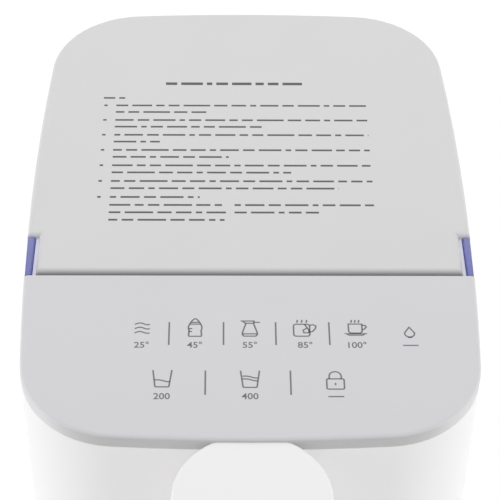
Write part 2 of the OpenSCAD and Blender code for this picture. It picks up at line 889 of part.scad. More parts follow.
module outlet_nozzle() {
    color("silver")
        translate([0, y_hood, 0])
            difference() {
                union() {
                    translate([0, 0, z_plate - nozzle_tip])
                        cylinder(r = nozzle_r, h = nozzle_tip + plate_t + 1);
                    translate([0, 0, z_plate + plate_t])
                        cylinder(r = nozzle_r + nozzle_flange, h = nozzle_flange);
                    translate([0, 0, z_plate + plate_t])
                        cylinder(r = stub_r, h = stub_l);
                }
                translate([0, 0, z_plate - nozzle_tip - 1])
                    cylinder(r = stub_bore, h = big);
            }
}
module hood_screws() {
    color("silver")
        for (z = hood_screw_z) {
            rod([0, y_front + wall + pin_gap, z], [0, 1, 0], hood_head_t, screw_head_r);
            rod([0, y_front - hood_screw_l, z], [0, 1, 0], hood_screw_l + wall + 0.5, hood_screw_r);
        }
}
module heater_tube() {
    color("silver")
        difference() {
            rod([heater_x, y_heater, heater_z], [0, 0, 1], heater_l, heater_r);
            rod([heater_x, y_heater, heater_z - 1], [0, 0, 1], heater_l + 2, heater_r - heater_wall);
        }
}
// End cap of the heater with its hose stub, facing down at height z with s = -1 or up with s = 1
module heater_cap(z, s) {
    difference() {
        union() {
            rod([heater_x, y_heater, z], [0, 0, s], cap_t, heater_r + cap_rim);
            rod([heater_x, y_heater, z], [0, 0, s], cap_t + stub_l, stub_r);
            rod([heater_x, y_heater, z - cap_plug * s], [0, 0, s],
                cap_plug + 1, heater_r - heater_wall - cap_fit);
        }
        rod([heater_x, y_heater, z - (cap_plug + 1) * s], [0, 0, s], cap_t + stub_l + 10, stub_bore);
        rod([heater_x, y_heater, z - (cap_plug + 1) * s], [0, 0, s],
            2 * (cap_plug + 1), heater_r - cap_land);
        children();
    }
}
module heater_base_cap() {
    color("gainsboro")
        heater_cap(heater_z, -1);
}
module heater_top_cap() {
    color("gainsboro")
        heater_cap(heater_z + heater_l, 1)
            rod([heater_x + probe_off, y_heater, heater_z + heater_l - 1], [0, 0, 1],
                cap_t + 2, probe_r + fit_gap);
}
module ntc_probe() {
    color("silver") {
        rod([heater_x + probe_off, y_heater, heater_z + heater_l - probe_l], [0, 0, 1],
            probe_l + cap_t + 1, probe_r);
        rod([heater_x + probe_off, y_heater, heater_z + heater_l + cap_t], [0, 0, 1],
            probe_head_l, probe_head_r);
    }
}
module heater_bracket() {
    color("gainsboro")
        difference() {
            union() {
                for (z = [heater_z + strap_in, heater_z + heater_l - strap_in - strap_h]) {
                    rod([heater_x, y_heater, z], [0, 0, 1], strap_h, heater_r + strap_t);
                    box([heater_x - arm_w / 2, y_heater + heater_r - 2, z],
                        [heater_x + arm_w / 2, y_column - wall, z + strap_h]);
                }
                box([heater_x - bracket_w / 2, y_column - wall - bracket_t, heater_z + strap_in],
                    [heater_x + bracket_w / 2, y_column - wall, heater_z + heater_l - strap_in]);
            }
            rod([heater_x, y_heater, heater_z], [0, 0, 1], heater_l, heater_r + pin_gap);
        }
}
module thermostat() {
    x0 = heater_x - heater_r - cutout_l;
    z0 = heater_z + heater_l / 2;
    color("dimgray")
        difference() {
            union() {
                rod([x0, y_heater, z0], [1, 0, 0], cutout_l + 3, cutout_r);
                for (y = [y_heater - tag_off - tag_t, y_heater + tag_off])
                    box([x0 - tag_l, y, z0 - tag_w / 2], [x0 + 1, y + tag_t, z0 + tag_w / 2]);
            }
            rod([heater_x, y_heater, heater_z], [0, 0, 1], heater_l, heater_r + pin_gap);
        }
}
module pump_housing() {
    color("gainsboro")
        difference() {
            union() {
                rod([pump_x, y_valve, pump_z], [1, 0, 0], pump_l, pump_r);
                rod([pump_x, y_valve, pump_z], [-1, 0, 0], stub_l, stub_r);
                rod([heater_x, y_valve, pump_outlet_z], [0, -1, 0], y_valve - y_pump_out, stub_r);
            }
            rod([pump_x + volute_wall, y_valve, pump_z], [1, 0, 0], pump_l - 2 * volute_wall, volute_r);
            rod([pump_x - stub_l - 1, y_valve, pump_z], [1, 0, 0], stub_l + volute_wall + 2, stub_bore);
            rod([heater_x, y_valve, pump_outlet_z], [0, -1, 0], big, stub_bore);
            rod([pump_x + pump_l - volute_wall - 1, y_valve, pump_z], [1, 0, 0], 10, shaft_r + pin_gap);
        }
}
module pump_motor() {
    color("silver")
        difference() {
            rod([pump_x + pump_l, y_valve, pump_z], [1, 0, 0], motor_l, motor_r);
            rod([pump_x + pump_l - 1, y_valve, pump_z], [1, 0, 0], motor_l - 3, shaft_r + pin_gap);
        }
}
module pump_mount() {
    x0 = pump_x + saddle_in;
    x1 = pump_x + pump_l + cradle_off;
    z0 = foot_h + base_floor;
    color("dimgray")
        difference() {
            union() {
                box([x0, y_valve - saddle_w / 2, z0],
                    [x0 + pump_l - 2 * saddle_in, y_valve + saddle_w / 2, pump_z - saddle_drop]);
                box([x1, y_valve - cradle_w / 2, z0],
                    [x1 + cradle_l, y_valve + cradle_w / 2, pump_z - cradle_drop]);
                box([x0, y_valve - cradle_w / 2, z0],
                    [x1 + cradle_l, y_valve + cradle_w / 2, z0 + mount_t]);
            }
            rod([pump_x, y_valve, pump_z], [1, 0, 0], pump_l + 2, pump_r + pin_gap);
            rod([pump_x + pump_l, y_valve, pump_z], [1, 0, 0], motor_l, motor_r + pin_gap);
        }
}
module impeller() {
    x0 = pump_x + volute_wall + hub_gap;
    color("ghostwhite")
        difference() {
            union() {
                rod([x0, y_valve, pump_z], [1, 0, 0], pump_l - 2 * (volute_wall + hub_gap), hub_r);
                rod([x0 + disc_off, y_valve, pump_z], [1, 0, 0], disc_t, impeller_r);
                for (a = [0:360 / vane_n:359])
                    translate([x0 + 1, y_valve, pump_z])
                        rotate([a, 0, 0])
                            translate([0, 0, -vane_t / 2])
                                cube([vane_l, impeller_r - 0.4, vane_t]);
            }
            rod([x0 - 1, y_valve, pump_z], [1, 0, 0], pump_l, shaft_r);
        }
}
module motor_shaft() {
    color("gray")
        rod([pump_x + volute_wall + hub_gap, y_valve, pump_z], [1, 0, 0],
            pump_l + motor_l - shaft_short, shaft_r);
}
module inlet_hose() {
    x1 = pump_x - stub_l + grip_l;
    color("lightblue") {
        leg([0, y_valve, z_dock_stub + grip_l], [0, 0, -1], z_dock_stub + grip_l - pump_z - bend_r);
        bend([0, y_valve, pump_z], [0, 0, -1], [1, 0, 0]);
        leg([bend_r, y_valve, pump_z], [1, 0, 0], x1 - bend_r);
    }
}
module heater_hose() {
    y1 = y_pump_out + grip_l;
    color("lightblue") {
        leg([heater_x, y1, pump_outlet_z], [0, -1, 0], y1 - y_heater - bend_r);
        bend([heater_x, y_heater, pump_outlet_z], [0, -1, 0], [0, 0, 1]);
        leg([heater_x, y_heater, pump_outlet_z + bend_r], [0, 0, 1],
            z_heater_in + grip_l - pump_outlet_z - bend_r);
    }
}
module outlet_hose() {
    z0 = z_heater_out - grip_l;
    z1 = z_plate + plate_t + stub_l - grip_l;
    color("lightblue") {
        leg([heater_x, y_heater, z0], [0, 0, 1], outlet_z - bend_r - z0);
        bend([heater_x, y_heater, outlet_z], [0, 0, 1], [-1, 0, 0]);
        leg([heater_x - bend_r, y_heater, outlet_z], [-1, 0, 0], heater_x - 2 * bend_r);
        bend([0, y_heater, outlet_z], [-1, 0, 0], [0, -1, 0]);
        leg([0, y_heater - bend_r, outlet_z], [0, -1, 0], y_heater - y_hood - 2 * bend_r);
        bend([0, y_hood, outlet_z], [0, -1, 0], [0, 0, -1]);
        leg([0, y_hood, outlet_z - bend_r], [0, 0, -1], outlet_z - bend_r - z1);
    }
}
// Spring clip around a hose end
module clip(p, v) {
    difference() {
        rod(p, v, clip_h, hose_r + clip_t);
        rod(p - v, v, clip_h + 2, hose_r);
    }
}
module hose_clips() {
    color("silver") {
        clip([0, y_valve, z_dock_stub + clip_in], [0, 0, 1]);
        clip([pump_x - stub_l + clip_in + 1, y_valve, pump_z], [1, 0, 0]);
        clip([heater_x, y_pump_out + clip_in, pump_outlet_z], [0, 1, 0]);
        clip([heater_x, y_heater, z_heater_in + clip_in], [0, 0, 1]);
        clip([heater_x, y_heater, z_heater_out - clip_in - clip_h], [0, 0, 1]);
        clip([0, y_hood, z_plate + plate_t + stub_l - clip_in - clip_h], [0, 0, 1]);
    }
}
module power_board() {
    y1 = y_column - wall;
    color("darkgreen")
        box([power_x - power_w / 2, y_power, power_z],
            [power_x + power_w / 2, y_power + board_t, power_z + power_h]);
    color("gainsboro")
        for (x = [power_margin, power_w - power_margin], z = [power_margin, power_h - power_margin])
            rod([power_x - power_w / 2 + x, y_power + board_t, power_z + z], [0, 1, 0],
                y1 - y_power - board_t, power_margin / 2);
}
module relay() {
    x0 = power_x - power_w / 2 + power_margin;
    z0 = power_z + 2 * power_margin;
    color("royalblue")
        box([x0, y_power - relay_d, z0], [x0 + relay_w, y_power, z0 + relay_h]);
}
module capacitor() {
    x0 = power_x + power_w / 2 - power_margin - capacitor_r;
    color("black")
        rod([x0, y_power, power_z + 2 * power_margin + capacitor_r], [0, -1, 0], capacitor_l, capacitor_r);
}
module triac_sink() {
    x0 = power_x - sink_w / 2;
    z0 = power_z + power_h - 2 * power_margin - sink_h;
    color("silver")
        union() {
            box([x0, y_power - sink_t, z0], [x0 + sink_w, y_power, z0 + sink_h]);
            for (i = [0:fin_n - 1])
                translate([i * (sink_w - fin_t) / (fin_n - 1), 0, 0])
                    box([x0, y_power - sink_d, z0], [x0 + fin_t, y_power - sink_t / 2, z0 + sink_h]);
        }
}
module tank_dock() {
    color("gainsboro")
        translate([0, y_valve, 0]) {
            difference() {
                union() {
                    translate([0, 0, z_cup])
                        cylinder(r = cup_r, h = z_cup_top - z_cup);
                    translate([0, 0, deck_z])
                        cylinder(r = cup_r + dock_flange, h = dock_flange_t);
                    translate([0, 0, z_dock_stub])
                        cylinder(r = stub_r, h = dock_stub_l + 2);
                }
                translate([0, 0, z_cup + cup_floor])
                    cylinder(r = cup_bore, h = dock_cut);
                translate([0, 0, z_dock_stub - 1])
                    cylinder(r = stub_bore, h = dock_cut);
            }
            // Bridge and post that lift the valve's stem
            box([-cup_bore - 0.5, -bridge_w / 2, z_cup + 2],
                [cup_bore + 0.5, bridge_w / 2, z_cup + cup_floor + 2]);
            translate([0, 0, z_cup + 2])
                cylinder(r = stem_r - 0.2, h = z_stem - seat_gap - z_cup - 2);
        }
}
module dock_seal() {
    color("dimgray")
        translate([0, y_valve, z_cup_top - dock_seal_drop])
            difference() {
                cylinder(r = cup_bore, h = dock_seal_h);
                translate([0, 0, -1])
                    cylinder(r = neck_r + seat_gap, h = 5);
            }
}
module level_sensor() {
    y1 = y_column - wall;
    color("darkgreen") {
        translate([float_x - sensor_w / 2, y1 - board_t, z_water - 2])
            cube([sensor_w, board_t, sensor_h]);
        translate([float_x - reed[0] / 2, y1 - board_t - reed[1], z_water + 6])
            cube(reed);
    }
}
module water_tank() {
    color("lightsteelblue", 0.5)
        difference() {
            union() {
                difference() {
                    prism(back_ring(tank_inset, y_tank), z_tank, z_rim);
                    // Step under the back of the lid
                    box([-big, y_step, z_step], [big, big, big]);
                    // Water space, skirt space and mouth
                    prism(back_ring(mouth_d, y_tank + tank_wall), z_water, z_step - tank_wall);
                    mouth(mouth_d, z_step - tank_wall - 1, big);
                    prism(back_ring(mouth_d, y_tank + tank_wall), z_tank - 1, z_floor);
                }
                // Ears that fill the lid's notches
                both()
                    intersection() {
                        prism(back_ring(tank_inset, y_tank), z_rim - 1, z_ear);
                        box([x_ear, y_tank - 1, 0], [big, y_notch - seat_gap, big]);
                    }
                rod([float_x, y_float, z_floor], [0, 0, 1], z_post - z_floor, post_r);
                for (x = [-hinge_half, -lug_w / 2, hinge_half - lug_w]) {
                    rod([x, y_hinge, z_hinge], [1, 0, 0], lug_w, knuckle_r);
                    box([x, y_step - 1, z_hinge - knuckle_r], [x + lug_w, y_hinge, z_rim]);
                }
            }
            rod([0, y_valve, z_floor - 1], [0, 0, 1], tank_floor + 2, neck_r + fit_gap);
            rod([-big, y_hinge, z_hinge], [1, 0, 0], 2 * big, pin_r + 0.02);
        }
}
module valve_seat() {
    color("white")
        translate([0, y_valve, 0]) {
            difference() {
                union() {
                    translate([0, 0, z_floor - neck_l])
                        cylinder(r = neck_r, h = neck_l + tank_floor + 1);
                    translate([0, 0, z_water])
                        cylinder(r = cage_r + slide_gap, h = flange_t);
                }
                translate([0, 0, z_floor - neck_cut])
                    cylinder(r = neck_bore, h = 4 * neck_cut);
            }
            // Bar that guides the stem
            difference() {
                union() {
                    box([-neck_bore - 0.5, -guide_w / 2, z_floor - guide_h - 1],
                        [neck_bore + 0.5, guide_w / 2, z_floor - 1]);
                    translate([0, 0, z_floor - guide_h - 1])
                        cylinder(r = stem_r + 1.6, h = guide_h);
                }
                translate([0, 0, z_floor - neck_cut])
                    cylinder(r = stem_r + pin_gap, h = 2 * neck_cut);
            }
        }
}
module valve_cage() {
    color("white")
        translate([0, y_valve, 0])
            difference() {
                union() {
                    translate([0, 0, z_cage])
                        cylinder(r = cage_r, h = cage_t);
                    for (a = [45:90:315])
                        rotate([0, 0, a])
                            box([cage_r - slide_gap - leg_t, -leg_w / 2, z_seat],
                                [cage_r - slide_gap, leg_w / 2, z_cage + 1]);
                }
                for (a = [0:90:270])
                    rotate([0, 0, a])
                        translate([cage_hole_at, 0, z_cage - 1])
                            cylinder(r = cage_hole_r, h = cage_t + 2);
            }
}
module valve_plunger() {
    color("ghostwhite")
        translate([0, y_valve, 0]) {
            translate([0, 0, z_stem])
                cylinder(r = stem_r, h = z_head + 1 - z_stem);
            translate([0, 0, z_head])
                cylinder(r = head_r, h = head_t);
            translate([0, 0, z_head])
                cylinder(r = spring_guide_r, h = head_t + spring_guide_h);
        }
}
module plunger_seal() {
    color("dimgray")
        translate([0, y_valve, z_head - seal_t])
            difference() {
                cylinder(r = head_r, h = seal_t);
                translate([0, 0, -1])
                    cylinder(r = stem_r, h = 4);
            }
}
module valve_spring() {
    z0 = z_head + head_t + wire_r + 0.05;
    h = z_cage - z_head - head_t - 2 * wire_r - 0.1;
    n = 16 * spring_turns;
    color("silver")
        translate([0, y_valve, z0])
            loft([for (i = [0:n]) let (t = 360 * spring_turns * i / n, u = [cos(t), sin(t), 0])
                [for (a = [0:60:300])
                    (spring_r + wire_r * sin(a)) * u + [0, 0, h * i / n + wire_r * cos(a)]]]);
}
module level_float() {
    color("orange")
        translate([float_x, y_float, z_float])
            difference() {
                cylinder(r = float_r, h = float_h);
                translate([0, 0, -1])
                    cylinder(r = post_r + slide_gap, h = float_h + 2);
                translate([0, -magnet_off, float_h - magnet_hole])
                    cylinder(r = magnet_r + pin_gap, h = magnet_hole + 1);
            }
}
module float_magnet() {
    color("gray")
        translate([float_x, y_float - magnet_off, z_float + float_h - magnet_hole])
            cylinder(r = magnet_r, h = magnet_l);
}
module float_clip() {
    color("white")
        translate([float_x, y_float, z_post - keeper_drop])
            difference() {
                cylinder(r = post_r + keeper_w, h = keeper_t);
                translate([0, 0, -1])
                    cylinder(r = post_r + 0.02, h = 4);
            }
}
module tank_lid() {
    color("lightgray")
        difference() {
            union() {
                loft([for (s = round_edge(body_h, lid_edge)) lift(lid_ring(s[0]), s[1])]);
                difference() {
                    prism(lid_ring(0), z_cap, body_h - lid_edge);
                    mouth(plug_d + plug_t, z_cap - 1, body_h - skin);
                }
                // Plug ring that carries the gasket
                difference() {
                    mouth(plug_d, z_cap - gasket_h - 1, z_cap + 1);
                    mouth(plug_d + plug_t, z_cap - 10, z_cap + 2);
                }
                both()
                    rod([lug_w / 2 + slide_gap, y_hinge, z_hinge], [1, 0, 0],
                        hinge_half - 1.5 * lug_w - 2 * slide_gap, knuckle_r);
            }
            // Pockets over the tank's lugs, and the pin's bore
            for (x = [-hinge_half, -lug_w / 2, hinge_half - lug_w])
                rod([x - slide_gap, y_hinge, z_hinge], [1, 0, 0],
                    lug_w + 2 * slide_gap, knuckle_r + slide_gap);
            rod([-hinge_half, y_hinge, z_hinge], [1, 0, 0], 2 * hinge_half, pin_r + pin_gap);
        }
}
module lid_gasket() {
    color("whitesmoke")
        union() {
            difference() {
                mouth(gasket_d, z_cap - gasket_h, z_cap);
                mouth(plug_d, z_cap - 10, z_cap + 1);
            }
            // Lips between the lid's edge and the tank's ears
            both()
                box([notch_x, y_lid + seat_gap, z_cap - seat_gap],
                    [x_ear - seat_gap, y_notch, body_h - lid_edge]);
        }
}
module lid_pin() {
    color("silver")
        rod([-hinge_half, y_hinge, z_hinge], [1, 0, 0], 2 * hinge_half, pin_r);
}
module drip_tray() {
    color("lightgray")
        difference() {
            prism(tray_ring(0, y_tray_rear), z_tray, z_tray + tray_h);
            prism(tray_ring(tray_wall, y_tray_rear - tray_wall), z_tray + tray_floor, z_tray + tray_h + 1);
            prism(tray_ring(tray_wall - ledge, y_tray_rear - tray_wall + ledge),
                z_ledge, z_tray + tray_h + 1);
            both()
                box([rail_x - rail_w / 2 - slide_gap, y_rail[0] - 1, 0],
                    [rail_x + rail_w / 2 + slide_gap, y_front, z_tongue + rail_h + seat_gap]);
        }
}
module drip_grid() {
    d = tray_wall - ledge + slide_gap;
    color("gray")
        difference() {
            prism(tray_ring(d, y_tray_rear - d), z_ledge + fit_gap, z_ledge + fit_gap + grid_t);
            for (i = [-(slot_n - 1) / 2:(slot_n - 1) / 2])
                translate([i * slot_pitch, y_tray + slot_in, 0]) {
                    box([-slot_w / 2, 0, 0], [slot_w / 2, tray_reach - 2 * slot_in, big]);
                    cylinder(r = slot_w / 2, h = big);
                    translate([0, tray_reach - 2 * slot_in, 0])
                        cylinder(r = slot_w / 2, h = big);
                }
        }
}

base_pan();
feet();
base_screws();
cord_gland();
front_housing();
rear_housing();
column_back();
column_screws();
control_panel();
touch_board();
touch_leds();
board_screws();
spout_hood();
spout_plate();
outlet_nozzle();
hood_screws();
heater_tube();
heater_base_cap();
heater_top_cap();
heater_bracket();
thermostat();
ntc_probe();
pump_housing();
pump_motor();
pump_mount();
impeller();
motor_shaft();
inlet_hose();
heater_hose();
outlet_hose();
hose_clips();
power_board();
relay();
capacitor();
triac_sink();
tank_dock();
dock_seal();
level_sensor();
water_tank();
valve_seat();
valve_cage();
valve_plunger();
plunger_seal();
valve_spring();
level_float();
float_magnet();
float_clip();
tank_lid();
lid_gasket();
lid_pin();
drip_tray();
drip_grid();
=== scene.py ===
"""Looks of an instant hot water dispenser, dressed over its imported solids."""
import json
import logging
import math
from collections.abc import Iterable, Iterator, Sequence
from dataclasses import dataclass, field
from enum import Enum
from typing import Any

import bmesh
import bpy
from mathutils import Matrix, Vector

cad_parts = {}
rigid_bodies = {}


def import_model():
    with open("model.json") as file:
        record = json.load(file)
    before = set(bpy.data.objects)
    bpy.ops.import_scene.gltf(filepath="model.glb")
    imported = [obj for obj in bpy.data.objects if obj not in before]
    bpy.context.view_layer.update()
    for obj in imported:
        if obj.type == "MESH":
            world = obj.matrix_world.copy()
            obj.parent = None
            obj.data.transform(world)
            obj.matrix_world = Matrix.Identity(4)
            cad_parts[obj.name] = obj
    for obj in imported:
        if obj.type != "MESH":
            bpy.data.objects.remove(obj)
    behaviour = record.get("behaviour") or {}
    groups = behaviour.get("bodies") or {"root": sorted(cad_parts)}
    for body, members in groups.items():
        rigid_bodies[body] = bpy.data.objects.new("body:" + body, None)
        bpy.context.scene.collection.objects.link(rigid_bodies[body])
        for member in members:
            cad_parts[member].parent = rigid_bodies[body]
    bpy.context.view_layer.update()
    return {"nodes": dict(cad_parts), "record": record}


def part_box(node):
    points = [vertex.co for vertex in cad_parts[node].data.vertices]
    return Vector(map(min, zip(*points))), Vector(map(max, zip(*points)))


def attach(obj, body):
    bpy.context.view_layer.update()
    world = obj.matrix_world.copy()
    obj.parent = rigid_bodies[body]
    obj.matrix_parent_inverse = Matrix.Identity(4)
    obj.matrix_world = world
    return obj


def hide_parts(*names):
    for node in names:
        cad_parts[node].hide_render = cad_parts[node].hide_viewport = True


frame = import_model()

LOG = logging.getLogger("dispenser")
MM = 0.001
# Pixels along each side of the photograph
IMAGE_SIDE = 500
# Points nearer than this are one
MERGE = 0.002 * MM
# Turns between faces that are one plane, that make an edge sharp, and that still shade smooth
FLAT_TURN = math.radians(0.2)
SHARP_TURN = math.radians(30)
SMOOTH_TURN = math.radians(34)
# Depth of the panel's and the lid's skirts below the top, and height of the rim round the deck
CAP_SKIRT = 4.8
DECK_RIM = 4.0

Point = tuple[float, float]
Point3 = tuple[float, float, float]
Stroke = tuple[list[Point], bool]
Colour = tuple[int, int, int]
Paint = tuple[float, float, float, float]
WHITE: Paint = (1.0, 1.0, 1.0, 1.0)


class Body(Enum):
    """Bodies that pieces ride on."""

    HOUSING = "housing"
    TANK = "tank"
    LID = "lid"
    VALVE = "valve"
    FLOAT = "float"
    TRAY = "tray"
    GRID = "grid"


class Slot(Enum):
    """Material slots of the record."""

    WHITE = "white_plastic"
    GREY = "grey_plastic"
    TANK = "tank_plastic"
    INNER = "inner_plastic"
    FLOAT = "float_plastic"
    RUBBER = "rubber"
    SILICONE = "silicone"
    STEEL = "steel"
    BOARD = "board"
    LED = "led"
    RELAY = "relay_case"
    SLEEVE = "sleeve"
    SINK = "sink"


class Detail(Enum):
    """Octaves of finer noise on a noise pattern."""

    SMOOTH = 1.0
    SOFT = 2.0
    FINE = 3.0
    DUSTY = 4.0


class Side(Enum):
    """Sides of a piece's box, each as its axis and its end of that axis."""

    BACK = (1, 1)
    BOTTOM = (2, 0)
    TOP = (2, 1)


def linear(colour: Colour, gain: float = 1.0) -> Paint:
    """Turn a display colour into scene-linear light.

    Args:
        colour: Red, green and blue from 0 to 255.
        gain: Factor on the linear values.

    Returns:
        Linear red, green, blue and an alpha of one.
    """
    parts = [c / 255 for c in colour]
    # The display standard's own curve
    light = [p / 12.92 if p <= 0.04045 else ((p + 0.055) / 1.055) ** 2.4 for p in parts]
    return (light[0] * gain, light[1] * gain, light[2] * gain, 1.0)


class Wire:
    """A shader socket that stands in Python expressions."""

    def __init__(self, shader: "Shader", socket: bpy.types.NodeSocket) -> None:
        """Keep the socket and the shader that owns it."""
        self.shader = shader
        self.socket = socket

    def _math(self, operation: str, first: "Operand", second: "Operand") -> "Wire":
        """Add a Math node for one operation on two operands."""
        return self.shader.node("ShaderNodeMath", {"operation": operation}, {0: first, 1: second})

    def __add__(self, other: "Operand") -> "Wire":
        """Sum of this value and another."""
        return self._math("ADD", self, other)

    def __sub__(self, other: "Operand") -> "Wire":
        """Difference of this value and another."""
        return self._math("SUBTRACT", self, other)

    def __rsub__(self, other: "Operand") -> "Wire":
        """Difference of another value and this one."""
        return self._math("SUBTRACT", other, self)

    def __mul__(self, other: "Operand") -> "Wire":
        """Product of this value and another."""
        return self._math("MULTIPLY", self, other)

    def __pow__(self, other: "Operand") -> "Wire":
        """Power of this value."""
        return self._math("POWER", self, other)

    def __gt__(self, other: "Operand") -> "Wire":
        """One where this value is above another, and zero elsewhere."""
        return self._math("GREATER_THAN", self, other)

    def __or__(self, other: "Operand") -> "Wire":
        """Larger of this value and another."""
        return self._math("MAXIMUM", self, other)

    def swing(self, span: float) -> "Wire":
        """Turn a value round one half into a swing round zero, with a given span."""
        return (self - 0.5) * span

    __radd__ = __add__
    __rmul__ = __mul__
    __ror__ = __or__


Operand = Wire | float


class Shader:
    """A node tree that is written as expressions."""

    def __init__(self, tree: bpy.types.NodeTree) -> None:
        """Empty the tree and keep it."""
        self.tree = tree
        tree.nodes.clear()

    def add(
        self,
        kind: str,
        settings: dict[str, Any] | None = None,
        inputs: dict[str | int, Any] | None = None,
    ) -> bpy.types.Node:
        """Add one node.

        Args:
            kind: The node's type.
            settings: Properties that are set first.
            inputs: Values or wires by socket name or number.

        Returns:
            The node.
        """
        made = self.tree.nodes.new(kind)
        for name, value in (settings or {}).items():
            setattr(made, name, value)
        for name, value in (inputs or {}).items():
            if isinstance(value, Wire):
                self.tree.links.new(value.socket, made.inputs[name])
            else:
                made.inputs[name].default_value = value
        return made

    def node(
        self,
        kind: str,
        settings: dict[str, Any] | None = None,
        inputs: dict[str | int, Any] | None = None,
        output: str | int = 0,
    ) -> Wire:
        """Add one node and hand on one of its outputs."""
        return Wire(self, self.add(kind, settings, inputs).outputs[output])

    def place(self, stretch: Point3 = (1, 1, 1)) -> Wire:
        """Give object coordinates, stretched along each axis.

        Args:
            stretch: Factor on each axis.

        Returns:
            The coordinates.
        """
        spot = self.node("ShaderNodeTexCoord", output="Object")
        return self.node("ShaderNodeMapping", inputs={"Vector": spot, "Scale": stretch})

    def along(self, axis: str) -> Wire:
        """Give the place along one axis, in metres."""
        return self.node("ShaderNodeSeparateXYZ", inputs={0: self.place()}, output=axis)

    def ramp(self, value: Wire, low: float, high: float, way: str = "SMOOTHSTEP") -> Wire:
        """Rise from zero to one between two values.

        Args:
            value: What is measured.
            low: Where the rise starts.
            high: Where it ends.
            way: Shape of the rise.

        Returns:
            The share, held between zero and one.
        """
        inputs = {"Value": value, "From Min": low, "From Max": high}
        return self.node("ShaderNodeMapRange", {"interpolation_type": way}, inputs)

    def noise(self, size: float, detail: Detail = Detail.SOFT, stretch: Point3 = (1, 1, 1)) -> Wire:
        """Give soft noise around one half.

        Args:
            size: Size of its patches in millimetres.
            detail: Octaves of finer noise.
            stretch: Factor on each axis.

        Returns:
            The noise, from zero to one.
        """
        inputs = {"Vector": self.place(stretch), "Scale": 1 / (size * MM), "Detail": detail.value}
        return self.node("ShaderNodeTexNoise", inputs=inputs, output="Fac")

    def cells(self, size: float, feature: str = "F1") -> Wire:
        """Give the distance pattern of scattered cells.

        Args:
            size: Size of a cell in millimetres.
            feature: Voronoi feature.

        Returns:
            The distance.
        """
        return self.node(
            "ShaderNodeTexVoronoi",
            {"feature": feature},
            {"Vector": self.place(), "Scale": 1 / (size * MM)},
            "Distance",
        )

    def mix(self, factor: Operand, first: Wire | Paint, second: Wire | Paint) -> Wire:
        """Blend two colours.

        Args:
            factor: Share of the second colour.
            first: Colour at zero.
            second: Colour at one.

        Returns:
            The blend.
        """
        # A Mix node's colours go in at sockets 6 and 7 and come out at 2
        return self.node("ShaderNodeMix", {"data_type": "RGBA"}, {0: factor, 6: first, 7: second}, 2)

    def bump(self, height: Wire, depth: float, strength: float = 1.0) -> Wire:
        """Turn a height into a bent normal.

        Args:
            height: Height, from zero to one.
            depth: What a height of one stands for, in millimetres.
            strength: Share of the effect.

        Returns:
            The normal.
        """
        values = {"Height": height, "Distance": depth * MM, "Strength": strength}
        return self.node("ShaderNodeBump", inputs=values)

    def surface(self, shader: Wire, kind: str = "ShaderNodeOutputMaterial") -> None:
        """Hand a finished shader to the tree's output."""
        self.add(kind, inputs={"Surface": shader})

    def tone(self, factor: Operand, colour: Colour, spread: float) -> Wire:
        """Vary a colour's brightness.

        Args:
            factor: Zero for the darkest tone, one for the brightest.
            colour: The middle tone.
            spread: Share by which the ends differ from the middle.

        Returns:
            The colour.
        """
        return self.mix(factor, linear(colour, 1 - spread), linear(colour, 1 + spread))

    def seen_directly(self) -> Wire:
        """Tell rays that show a thing itself, also in gloss or through glass, from rays of light."""
        kinds = ("Is Camera Ray", "Is Glossy Ray", "Is Transmission Ray")
        camera, glossy, through = (self.node("ShaderNodeLightPath", output=kind) for kind in kinds)
        return camera | glossy | through


@dataclass(frozen=True)
class Finish:
    """A finish with a name and one main colour."""

    name: str
    colour: Colour

    def material(self) -> bpy.types.Material:
        """Give the finish's material, made at its first use.

        Returns:
            The material.
        """
        made = bpy.data.materials.get(self.name)
        if made is None:
            made = bpy.data.materials.new(self.name)
            made.use_nodes = True
            shader = Shader(made.node_tree)
            sockets = self.sockets(shader)
            shader.surface(shader.node("ShaderNodeBsdfPrincipled", inputs=sockets))
            made.diffuse_color = linear(self.colour)
        return made

    def sockets(self, shader: Shader) -> dict[str, Any]:
        """Give the values of the surface's sockets."""
        raise NotImplementedError


@dataclass(frozen=True)
class MouldedPlastic(Finish):
    """Opaque moulded plastic with a fine eroded grain."""

    roughness: float = 0.4
    grain: float = 0.7
    depth: float = 0.01
    mottle: float = 0.012
    coat: float = 0.0
    coat_roughness: float = 0.2
    ior: float = 1.5
    flow_size: float = 60.0
    flow_share: float = 0.7
    touch_size: float = 22.0
    touch_swing: float = 0.16
    grain_swing: float = 0.08
    speck_ratio: float = 1.7
    speck_share: float = 0.4

    def sockets(self, shader: Shader) -> dict[str, Any]:
        """Mix flow marks, handling marks and grain.

        Args:
            shader: The tree to add to.

        Returns:
            Values by socket.
        """
        flow = shader.noise(self.flow_size, Detail.SMOOTH)
        touch = shader.noise(self.touch_size, Detail.FINE)
        grain = shader.noise(self.grain)
        speck = shader.cells(self.grain * self.speck_ratio)
        marks = flow * self.flow_share + touch * (1 - self.flow_share)
        height = grain * (1 - self.speck_share) + speck * self.speck_share
        return {
            "Base Color": shader.tone(marks, self.colour, self.mottle),
            "Roughness": self.roughness + touch.swing(self.touch_swing) + grain.swing(self.grain_swing),
            "Normal": shader.bump(height, self.depth),
            "Coat Weight": self.coat,
            "Coat Roughness": self.coat_roughness,
            "IOR": self.ior,
        }


